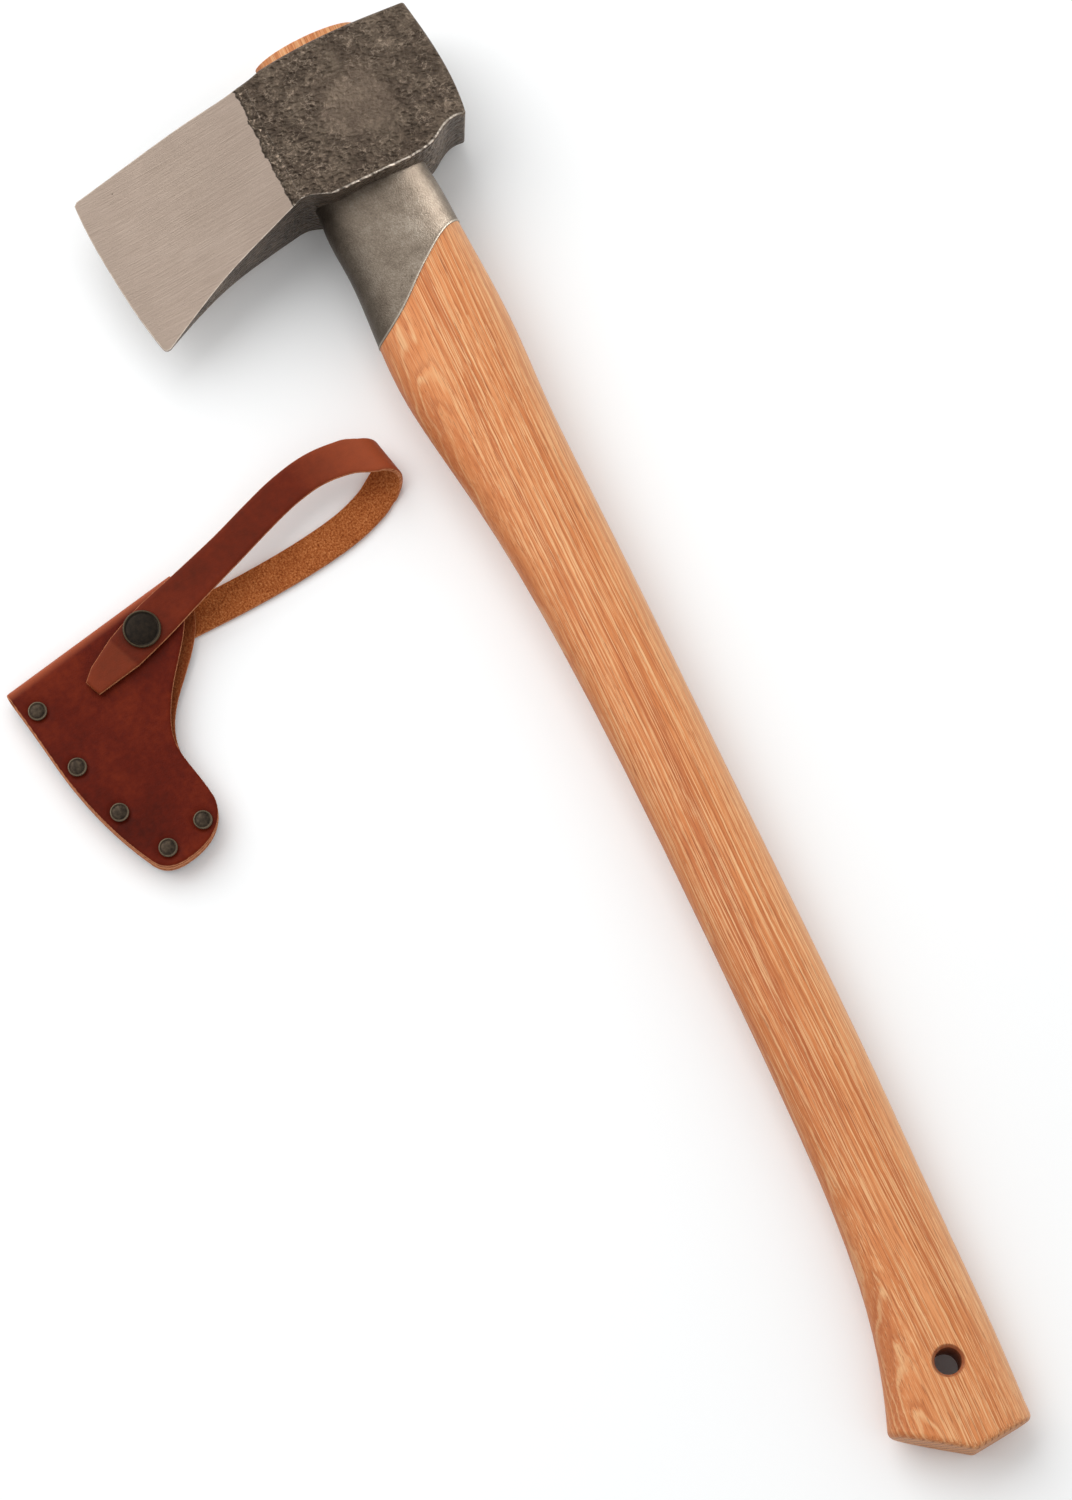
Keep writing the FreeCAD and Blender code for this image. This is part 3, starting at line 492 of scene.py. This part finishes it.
def shade(mesh):
    """Faces out, all smooth."""
    work = bmesh.new()
    work.from_mesh(mesh)
    bmesh.ops.recalc_face_normals(work, faces=work.faces)
    work.to_mesh(mesh)
    work.free()
    mesh.polygons.foreach_set("use_smooth", [True] * len(mesh.polygons))


def repaint(node, material):
    """A CAD node keeps its shape and takes a procedural material."""
    nodes[node].data.materials.clear()
    nodes[node].data.materials.append(material)


def bridge(rows, columns):
    """Quads between closed rows of vertices numbered row by row."""
    faces = []
    for row in range(rows - 1):
        for column in range(columns):
            after = (column + 1) % columns
            here, above = row * columns, (row + 1) * columns
            faces.append((here + column, here + after, above + after, above + column))
    return faces


def spin(profile, centre, steps=48):
    """A round solid: profile holds (radius, height) from the bottom of its axis to the top, and rim marks."""
    points, marks = profile
    vertices = []
    shares = []
    rings = []
    for (radius, height), mark in zip(points, marks):
        count = 1 if radius < 1e-9 else steps
        rings.append(list(range(len(vertices), len(vertices) + count)))
        for step in range(count):
            angle = 2 * math.pi * step / steps
            vertices.append(centre + Vector((radius * math.cos(angle), radius * math.sin(angle), height)))
            shares.append(mark)
    faces = []
    for low, high in zip(rings, rings[1:]):
        for step in range(steps):
            after = (step + 1) % steps
            if len(low) == 1:
                faces.append((low[0], high[after], high[step]))
            elif len(high) == 1:
                faces.append((low[step], low[after], high[0]))
            else:
                faces.append((low[step], low[after], high[after], high[step]))
    return vertices, faces, shares


def merged(name, lumps, material):
    """Several (vertices, faces, rim marks) lumps as one piece."""
    vertices = []
    faces = []
    shares = []
    for some_vertices, some_faces, some_shares in lumps:
        offset = len(vertices)
        vertices += some_vertices
        shares += some_shares
        faces += [tuple(offset + index for index in face) for face in some_faces]
    return mesh_piece(name, vertices, faces, material, {"rim": shares})


CURVE_STEPS = 24            # straight steps between two knots, before the points are spaced evenly


def smooth_path(points, spacing):
    """Evenly spaced points on a Catmull-Rom curve."""
    knots = [2 * points[0] - points[1], *points, 2 * points[-1] - points[-2]]
    fine = []
    for before, start, end, after in zip(knots, knots[1:], knots[2:], knots[3:]):
        square = 2 * before - 5 * start + 4 * end - after
        cube = 3 * start - before - 3 * end + after
        for step in range(CURVE_STEPS):
            t = step / CURVE_STEPS
            fine.append(0.5 * (2 * start + (end - before) * t + square * t ** 2 + cube * t ** 3))
    fine.append(points[-1].copy())
    lengths = [0.0]
    for here, there in zip(fine, fine[1:]):
        lengths.append(lengths[-1] + (there - here).length)
    count = max(2, round(lengths[-1] / spacing))
    out = []
    index = 0
    for number in range(count + 1):
        wanted = lengths[-1] * number / count
        while index < len(fine) - 2 and lengths[index + 1] < wanted:
            index += 1
        span = lengths[index + 1] - lengths[index]
        out.append(fine[index].lerp(fine[index + 1], (wanted - lengths[index]) / span if span else 0))
    return out


# ---------------------------------------------------------------- the axe
def make_axe():
    repaint("axe_head", forged_head())
    repaint("handle", hickory())
    repaint("wooden_wedge", wedge_wood())
    repaint("steel_wedge", wedge_steel())
    make_collar(collar_steel())


RIM = [(-59.2, -30.0), (-62.2, -16.0), (-73.5, 0.5), (-87.0, 17.0), (-94.5, 29.0), (-99.0, 40.0)]
COLLAR_MIDDLE = 5.0
COLLAR_TOP = -26.0
SEAT_TOP = -32.0


def outside():
    """A function that finds the outside of the handle and collar, by height and angle, in axe millimetres."""
    vertices = []
    faces = []
    for node in ("collar_guard", "handle"):
        offset = len(vertices)
        world = nodes[node].matrix_world
        vertices += [world @ vertex.co for vertex in nodes[node].data.vertices]
        faces += [[offset + index for index in face.vertices] for face in nodes[node].data.polygons]
    tree = BVHTree.FromPolygons(vertices, faces)
    back = AXE.inverted()

    def surface(x, angle):
        middle = Vector((min(x, SEAT_TOP), COLLAR_MIDDLE, 0))
        start = AXE @ (middle + Vector((0, math.cos(angle), math.sin(angle))) * 60.0)
        place = back @ tree.ray_cast(start, (AXE @ middle - start).normalized())[0]
        return Vector((x, place.y, place.z))
    return surface


def rim_height(y):
    """Where the collar's scooped rim is, along the handle, for a place across it."""
    curve = smooth_path([Vector((x, across, 0)) for x, across in RIM], 1.0)
    for low, high in zip(curve, curve[1:]):
        if y <= high.y:
            return low.x + (high.x - low.x) * (y - low.y) / (high.y - low.y)
    return curve[-1].x


def make_collar(material):
    """The collar's sheet: it follows the handle's oval, stands proud of it and ends in a rolled lip."""
    surface = outside()
    around = 120
    down = 26
    # Past the rim (mm), out from the handle (mm) and share of painted highlight on the lip, from the outside
    # to the inside.
    lip = [(1.6, 0.3, 0.0), (1.0, 0.34, 0.0), (0.6, 0.46, 0.5), (0.25, 0.52, 1.0), (-0.1, 0.44, 1.0),
           (-0.3, 0.2, 0.4), (-0.35, -0.1, 0.0), (-0.3, -0.8, 0.0)]
    columns = []
    for step in range(around):
        angle = 2 * math.pi * step / around
        rim = -75.0
        for _ in range(6):
            rim = rim_height(surface(rim, angle).y)
        column = []
        for number in range(down):
            height = COLLAR_TOP + (rim + 2.2 - COLLAR_TOP) * number / (down - 1)
            column.append((surface(height, angle), 0.3, 0.0))
        column += [(surface(rim + past, angle), out, share) for past, out, share in lip]
        column.append((surface(-40.0, angle), -1.2, 0.0))
        column.append((surface(COLLAR_TOP, angle), -1.2, 0.0))
        columns.append(column)
    rows = len(columns[0])
    vertices = []
    bright = []
    for step, column in enumerate(columns):
        before, after = columns[step - 1], columns[(step + 1) % around]
        for number in range(rows):
            place, out, share = column[number]
            place = place * 0.5 + (before[number][0] + after[number][0]) * 0.25
            along = after[number][0] - before[number][0]
            side = Vector((0, along.z, -along.y)).normalized()
            vertices.append(AXE @ (place + side * out))
            bright.append(share)
    faces = bridge(around, rows)
    faces += [((around - 1) * rows + row, (around - 1) * rows + (row + 1) % rows, (row + 1) % rows, row)
              for row in range(rows)]
    # lip holds the share of painted highlight on the rolled lip.
    piece = mesh_piece("collar_sleeve", vertices, faces, material, {"lip": bright})
    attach(piece, "axe")
    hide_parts("collar_guard")


# ---------------------------------------------------------------- the sheath's leather
SOFT_GRAIN = 0.6 * MM       # size of the even mesh
SOFT_ROUNDS = 6             # rounds of smoothing that soften its edges


def soft_copy(name, node, material):
    """A CAD leather solid as an even mesh with softened edges."""
    source = nodes[node].data.copy()
    work = bmesh.new()
    work.from_mesh(source)
    bmesh.ops.remove_doubles(work, verts=work.verts, dist=1e-6)
    work.to_mesh(source)
    work.free()
    piece = bpy.data.objects.new(name, source)
    bpy.context.scene.collection.objects.link(piece)
    remesh = piece.modifiers.new("remesh", "REMESH")
    remesh.mode = "VOXEL"
    remesh.voxel_size = SOFT_GRAIN
    smooth = piece.modifiers.new("smooth", "SMOOTH")
    smooth.factor = 0.5
    smooth.iterations = SOFT_ROUNDS
    view = piece.evaluated_get(bpy.context.evaluated_depsgraph_get())
    mesh = bpy.data.meshes.new_from_object(view)
    piece.modifiers.clear()
    piece.data = mesh
    mesh.materials.clear()
    mesh.materials.append(material)
    shade(mesh)
    return piece


def level_of(node):
    low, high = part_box(node)
    return low.z, high.z


FOLD_MOUTH = Vector((-144.0, 163.0, 0))
FOLD_TOP = Vector((-161.0, 253.0, 0))
DIMPLE_DEPTH = 0.45
DIMPLE_REACH = 3.5
PULLED_IN = 25.0            # mm from the fold, over which the corner at the mouth is pulled in


def dimple(place, middle, radius):
    """How far the edge of a fixing presses the leather in at a place."""
    off_edge = abs(math.hypot(place.x - middle.x, place.y - middle.y) - radius)
    return DIMPLE_DEPTH * max(0.0, 1 - off_edge / DIMPLE_REACH) ** 2


def make_sheath_leather(material):
    """Front and back panel, the fold that joins them and the welt, with dimples round the fixings."""
    welt_low, welt_high = level_of("sheath_welt")
    top = level_of("sheath_leather")[1] / MM
    fold = (FOLD_TOP - FOLD_MOUTH).normalized()
    inward = Vector((-fold.y, fold.x, 0))
    fixings = [(Vector((x, y, 0)), EDGE_CAP_RADIUS) for x, y in EDGE_RIVETS]
    fixings.append((Vector((*SNAP, 0)), SNAP_RADIUS))
    back = SHEATH.inverted()
    for name, node in (("sheath_panels", "sheath_leather"), ("sheath_edge_welt", "sheath_welt")):
        piece = soft_copy(name, node, material)
        mesh = piece.data
        flesh = []
        cut = []
        rubbed_and_sheen = []
        moved = []
        for vertex in mesh.vertices:
            out = vertex.normal
            place = back @ vertex.co
            past_mouth = (place - FOLD_MOUTH).dot(fold)
            from_fold = (place - FOLD_MOUTH).dot(inward)
            if out.z > 0.4 and place.z > top - 2.0:
                sunk = sum(dimple(place, middle, radius) for middle, radius in fixings)
                swell = 0.12 * math.sin(place.x * 0.13 + 1.0) * math.sin(place.y * 0.09)
                place.z -= sunk + swell
            # The corner that sticks out at the fold's mouth end is pulled in to the mouth's line.
            pull = (math.sqrt(past_mouth ** 2 + 4.0) - past_mouth) / 2
            place += fold * pull * max(0.0, 1 - from_fold / PULLED_IN)
            inside = vertex.co.z > welt_high - 0.5 * MM and out.z < -0.5
            inside = inside or vertex.co.z < welt_low + 0.5 * MM and out.z > 0.5
            side = max(0.0, min(1.0, (0.6 - abs(out.z)) / 0.2))
            clear = max(0.0, min(1.0, (from_fold - 4.5) / 2.0))
            flesh.append(0.5 if inside else 0.0)
            cut.append(side * max(clear, 1.0 if abs(out.dot(fold)) > 0.8 else 0.0))
            # Rubbed wear with a painted sheen, along the fold.
            rubbed_and_sheen.append(max(0.0, 1 - from_fold / 5.0))
            moved += list(SHEATH @ place)
        mesh.vertices.foreach_set("co", moved)
        mesh.update()
        mark(mesh, {"flesh": flesh, "cut": cut, "rubbed_and_sheen": rubbed_and_sheen})
        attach(piece, "sheath")
        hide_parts(node)


# ---------------------------------------------------------------- the strap
UP = Vector((0, 0, 1))
BEND_ALONG = Vector((0.98, 0.2, 0)).normalized()
BEND_OUT = Vector((0.2, -0.98, 0)).normalized()
LOWER_RUN = [(-165.2, 197.0), (-164.8, 165.0), (-164.2, 136.0), (-162.2, 108.0), (-158.6, 84.0),
             (-153.6, 68.5), (-148.2, 59.2)]
# Place and half width: the upper run widens where the snap goes through it.
UPPER_RUN = [(-135.4, 60.4, 8.1), (-132.0, 70.4, 8.1), (-131.0, 85.0, 8.1), (-134.0, 101.0, 8.1),
             (-139.4, 117.0, 8.1), (-146.2, 135.0, 8.2), (-153.9, 157.0, 8.8), (-161.6, 179.0, 9.7),
             (-168.4, 196.5, 9.0)]
TIP_RIGHT, TIP_POINT, TIP_LEFT = (-168.2, 213.1), (-173.5, 218.3), (-181.2, 216.2)
HALF_WIDTH = 8.1
THICK = 2.6
CORNER = 0.6                # radius of the strap's edges
RING_SPACING = 2.0
BEND_RINGS = 20             # steps round the half turn
BEND_EASE = 16              # rings over which the strap's rings turn into the bend's
TIP_RINGS = 14
TIP_BLUNT = 0.9             # least half width, at the very point
WORN_OVER = 34              # rings on each side of the bend that carrying has rubbed, and that carry a painted sheen


def ease(share):
    """Nought to one with flat ends."""
    share = min(1.0, max(0.0, share))
    return share * share * (3 - 2 * share)


def band_ring(centre, side, up, half_width):
    """A rounded section of the strap, with its flesh and cut shares; side points to its edge."""
    half = THICK / 2
    flat = half_width - CORNER
    across = 10
    ring = []
    for number in range(across + 1):
        ring.append((-flat + 2 * flat * number / across, half, 0.0))
    for number in range(1, 6):
        angle = math.pi / 2 - math.pi * number / 6
        share = 1.0 if 1 < number < 5 else 0.3
        ring.append((flat + CORNER * math.cos(angle), half * math.sin(angle), share))
    for number in range(across + 1):
        ring.append((flat - 2 * flat * number / across, -half, 0.0))
    for number in range(1, 6):
        angle = -math.pi / 2 - math.pi * number / 6
        share = 1.0 if 1 < number < 5 else 0.0
        ring.append((-flat + CORNER * math.cos(angle), half * math.sin(angle), share))
    places = [centre + side * s + up * h for s, h, share in ring]
    inner = [1.0 if h < 0 else 0.0 for s, h, share in ring]
    edge = [share for s, h, share in ring]
    return places, inner, edge


def side_of(path, number, turn, share):
    """Across the strap at one place of a run, leaning by a share towards the line of the bend."""
    ahead = (path[min(number + 1, len(path) - 1)] - path[max(number - 1, 0)]).normalized()
    side = ahead.cross(UP) * turn
    slanted = BEND_ALONG / max(0.5, side.dot(BEND_ALONG))
    return side.lerp(slanted, share)


def run_rings(low_z, high_z):
    """Middle, side, outward direction and half width of each ring up to the tip, and the ring in the
    middle of the bend."""
    lower = smooth_path([Vector((x, y, low_z)) for x, y in LOWER_RUN], RING_SPACING)
    rings = []
    for number, place in enumerate(lower):
        share = ease((number - len(lower) + 1 + BEND_EASE) / BEND_EASE)
        rings.append((place, side_of(lower, number, -1, share), -UP, HALF_WIDTH))
    radius = (high_z - low_z) / 2
    travel = Vector((*UPPER_RUN[0][:2], low_z)) - lower[-1]
    slant = math.atan2(travel.dot(BEND_ALONG), math.pi * radius)
    for number in range(1, BEND_RINGS):
        angle = math.pi * number / BEND_RINGS
        outward = BEND_OUT * math.sin(angle) - UP * math.cos(angle)
        place = lower[-1] + travel * (number / BEND_RINGS) + UP * radius + outward * radius
        rings.append((place, BEND_ALONG / math.cos(slant), outward, HALF_WIDTH))
    upper = smooth_path([Vector(point) for point in UPPER_RUN], RING_SPACING)
    widths = [place.z for place in upper]
    for place in upper:
        place.z = high_z
    for number, place in enumerate(upper):
        share = ease((BEND_EASE - number) / BEND_EASE)
        rings.append((place, side_of(upper, number, 1, share), UP, widths[number]))
    return rings, len(lower) + BEND_RINGS // 2


def edge_at(corners, distance):
    """How far out the tip's edge is, for a distance along it."""
    for (d0, s0), (d1, s1) in zip(corners, corners[1:]):
        if distance <= d1:
            return s0 + (s1 - s0) * (distance - d0) / (d1 - d0)
    return corners[-1][1]


def tip_rings(before, last, half_width):
    """Rings whose edges close in on the tip's blunt point, after the last two places of the run."""
    ahead = (last - before).normalized()
    side = ahead.cross(UP).normalized()
    right, point, left = [Vector((*corner, last.z)) - last for corner in (TIP_RIGHT, TIP_POINT, TIP_LEFT)]
    edges = []
    for start, corner in ((half_width, right), (-half_width, left)):
        edges.append([(0, start)] + [(place.dot(ahead), place.dot(side)) for place in (corner, point)])
    reach = point.dot(ahead) - 0.3
    rings = []
    for number in range(1, TIP_RINGS + 1):
        distance = reach * number / TIP_RINGS
        right_edge, left_edge = [edge_at(corners, distance) for corners in edges]
        centre = last + ahead * distance + side * ((right_edge + left_edge) / 2)
        rings.append((centre, side, UP, max(TIP_BLUNT, (right_edge - left_edge) / 2)))
    return rings


def make_strap(material):
    """One band from under the back panel, round the far end of its loop and back over the snap."""
    upper_level = level_of("strap_upper_run")[0] / MM
    rings, bend_row = run_rings(THICK / 2, upper_level + THICK / 2)
    tip_row = len(rings)
    rings += tip_rings(rings[-2][0], rings[-1][0], rings[-1][3])
    vertices, flesh, cut, rubbed_and_sheen = [], [], [], []
    for row, ring in enumerate(rings):
        places, inner, edge = band_ring(*ring)
        vertices += places
        flesh += inner
        cut += edge
        # Rubbed wear with a painted sheen, strongest at the bend.
        wear_and_highlight = max(0.1, 0.9 - abs(row - bend_row) / WORN_OVER) if row < tip_row else 0.25
        rubbed_and_sheen += [wear_and_highlight] * len(places)
    columns = len(places)
    faces = bridge(len(rings), columns)
    faces.append(tuple(range(columns)))
    faces.append(tuple(range(len(vertices) - columns, len(vertices))))
    piece = mesh_piece("strap_band", [SHEATH @ v for v in vertices], faces, material, {
        "flesh": flesh, "cut": cut, "rubbed_and_sheen": rubbed_and_sheen})
    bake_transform(piece)
    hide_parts("strap_lower_run", "strap_upper_run")


# ---------------------------------------------------------------- rivets and the snap
def cap_profile(radius, rise, barrel, depth, rim_width):
    """A cap with a rolled rim round a low dome, on a barrel that goes down to a depth."""
    inner = radius - rim_width
    under = [(0, -depth), (barrel, -depth), (barrel, 0.0), (radius * 0.93, 0.0)]
    rim = []
    for number in range(9):
        angle = -0.35 * math.pi + 1.05 * math.pi * number / 8
        rim.append((radius - rim_width / 2 + rim_width / 2 * math.cos(angle),
                    rise - rim_width / 2 + rim_width / 2 * math.sin(angle)))
    foot = rise - rim_width * 0.62
    dome = [(inner * 0.97, foot)]
    for number in range(1, 8):
        angle = number / 8 * math.pi / 2
        dome.append((inner * 0.93 * math.cos(angle), foot + rim_width * 0.5 * math.sin(angle)))
    dome.append((0, rise - rim_width * 0.12))
    # Marks for the rolled rim, where rubbed wear and a painted highlight brighten the cap.
    marks = [0.0] * len(under) + [0.3, 0.5, 0.7, 1.0, 1.0, 1.0, 1.0, 0.6, 0.3] + [0.0] * len(dome)
    return under + rim + dome, marks


RIVET_CAP_RADIUS = 4.3 * MM
RIVET_BARREL_RADIUS = 1.8 * MM
RIVET_RIM = 0.9 * MM
SNAP_RISE = 1.9 * MM
SNAP_BARREL_RADIUS = 4.4 * MM
SNAP_DEPTH = 2.7 * MM
SNAP_RIM = 1.1 * MM


def make_fixings(rivet_metal, snap_metal):
    """Rolled caps over the rivets and the snap; the parts below them keep their CAD shape."""
    for node, name, places, rise in (("sheath_rivet_caps", "edge_rivet_caps", EDGE_RIVETS, 1.5 * MM),
                                     ("strap_rivet_caps", "strap_rivet_heads", STRAP_RIVETS, 1.0 * MM)):
        low, high = level_of(node)
        lumps = []
        for x, y in places:
            centre = SHEATH @ Vector((x, y, 0))
            centre.z = high - rise - 0.2 * MM
            profile = cap_profile(RIVET_CAP_RADIUS, rise, RIVET_BARREL_RADIUS, centre.z - low, RIVET_RIM)
            lumps.append(spin(profile, centre))
        piece = merged(name, lumps, rivet_metal)
        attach(piece, "sheath")
        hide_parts(node)
    for node in ("sheath_rivet_posts", "strap_rivet_posts"):
        repaint(node, rivet_metal)
    low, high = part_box("snap_cap")
    radius = (high.x - low.x) / 2
    centre = Vector(((low.x + high.x) / 2, (low.y + high.y) / 2, high.z - SNAP_RISE))
    profile = cap_profile(radius, SNAP_RISE, SNAP_BARREL_RADIUS, SNAP_DEPTH, SNAP_RIM)
    cap = merged("snap_dome", [spin(profile, centre, 72)], snap_metal)
    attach(cap, "strap")
    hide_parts("snap_cap")
    for node in ("snap_socket", "snap_stud", "snap_eyelet"):
        repaint(node, snap_metal)


# ---------------------------------------------------------------- floor, light and camera
def make_stage():
    s = Surface("pale_floor")
    tone = s.noise(s.object_place(), 3.0, 2.0)
    colour = s.mix(tone, (0.955, 0.968, 0.972), (0.965, 0.978, 0.982))
    s.finish(Base_Color=colour, Roughness=0.9)
    mesh = bpy.data.meshes.new("floor")
    half = 12.0
    corners = [(-half, -half, 0), (half, -half, 0), (half, half, 0), (-half, half, 0)]
    mesh.from_pydata(corners, [], [(0, 1, 2, 3)])
    floor = bpy.data.objects.new("floor", mesh)
    floor.location.z = -0.0002
    mesh.materials.append(s.material)
    bpy.context.scene.collection.objects.link(floor)

    world = bpy.data.worlds.new("studio")
    world.use_nodes = True
    background = world.node_tree.nodes["Background"]
    background.inputs["Color"].default_value = (1.0, 1.0, 1.0, 1)
    # Soft light all round, stronger from the back of the handle than from its front.
    direction = world.node_tree.nodes.new("ShaderNodeTexCoord")
    split = world.node_tree.nodes.new("ShaderNodeSeparateXYZ")
    level = world.node_tree.nodes.new("ShaderNodeMapRange")
    for socket, value in zip(("From Min", "From Max", "To Min", "To Max"), (1.0, -1.0, 0.54, 0.84)):
        level.inputs[socket].default_value = value
    world.node_tree.links.new(direction.outputs["Generated"], split.inputs[0])
    world.node_tree.links.new(split.outputs["Y"], level.inputs["Value"])
    world.node_tree.links.new(level.outputs["Result"], background.inputs["Strength"])
    bpy.context.scene.world = world

    add_light("key", (1.5, 0.6, 1.5), 2.6, 42.0)
    # The side light draws the steel's relief and leaves everything else alone.
    side = add_light("side", (0.42, -1.6, 1.0), 0.6, 40.0)
    lit = bpy.data.collections.new("lit_from_the_side")
    side.light_linking.receiver_collection = lit
    return lit


def add_light(name, place, width, watts):
    """A soft square light that looks at the middle of the object."""
    lamp = bpy.data.lights.new(name, "AREA")
    lamp.size = width
    lamp.energy = watts
    light = bpy.data.objects.new(name, lamp)
    light.location = place
    light.rotation_euler = (-Vector(place)).to_track_quat("-Z", "Y").to_euler()
    bpy.context.scene.collection.objects.link(light)
    return light


def make_camera():
    """The photographer's view: almost straight down, from the butt's side."""
    place = Vector((-0.6288, 0.3100, 3.0756))
    target = Vector((0.0131, -0.0474, 0.02))
    up = Vector((0.8685, -0.4372, 0.2336))
    back = (place - target).normalized()
    right = up.cross(back).normalized()
    turn = Matrix((right, back.cross(right), back)).transposed()
    camera = bpy.data.cameras.new("camera")
    camera.sensor_width = 36.0
    camera.lens = 171.02
    holder = bpy.data.objects.new("camera", camera)
    holder.matrix_world = Matrix.Translation(place) @ turn.to_4x4()
    bpy.context.scene.collection.objects.link(holder)
    bpy.context.scene.camera = holder


make_camera()
lit_from_the_side = make_stage()
make_axe()
hide = leather()
make_sheath_leather(hide)
make_strap(hide)
make_fixings(antique_metal("antique_rivet", srgb(40, 32, 25), srgb(70, 59, 47), srgb(100, 88, 71)),
             antique_metal("dark_snap", srgb(20, 15, 10), srgb(35, 27, 19), srgb(76, 64, 48)))
for piece in (nodes["axe_head"], bpy.data.objects["collar_sleeve"]):
    lit_from_the_side.objects.link(piece)
bpy.context.scene.view_settings.view_transform = "Standard"
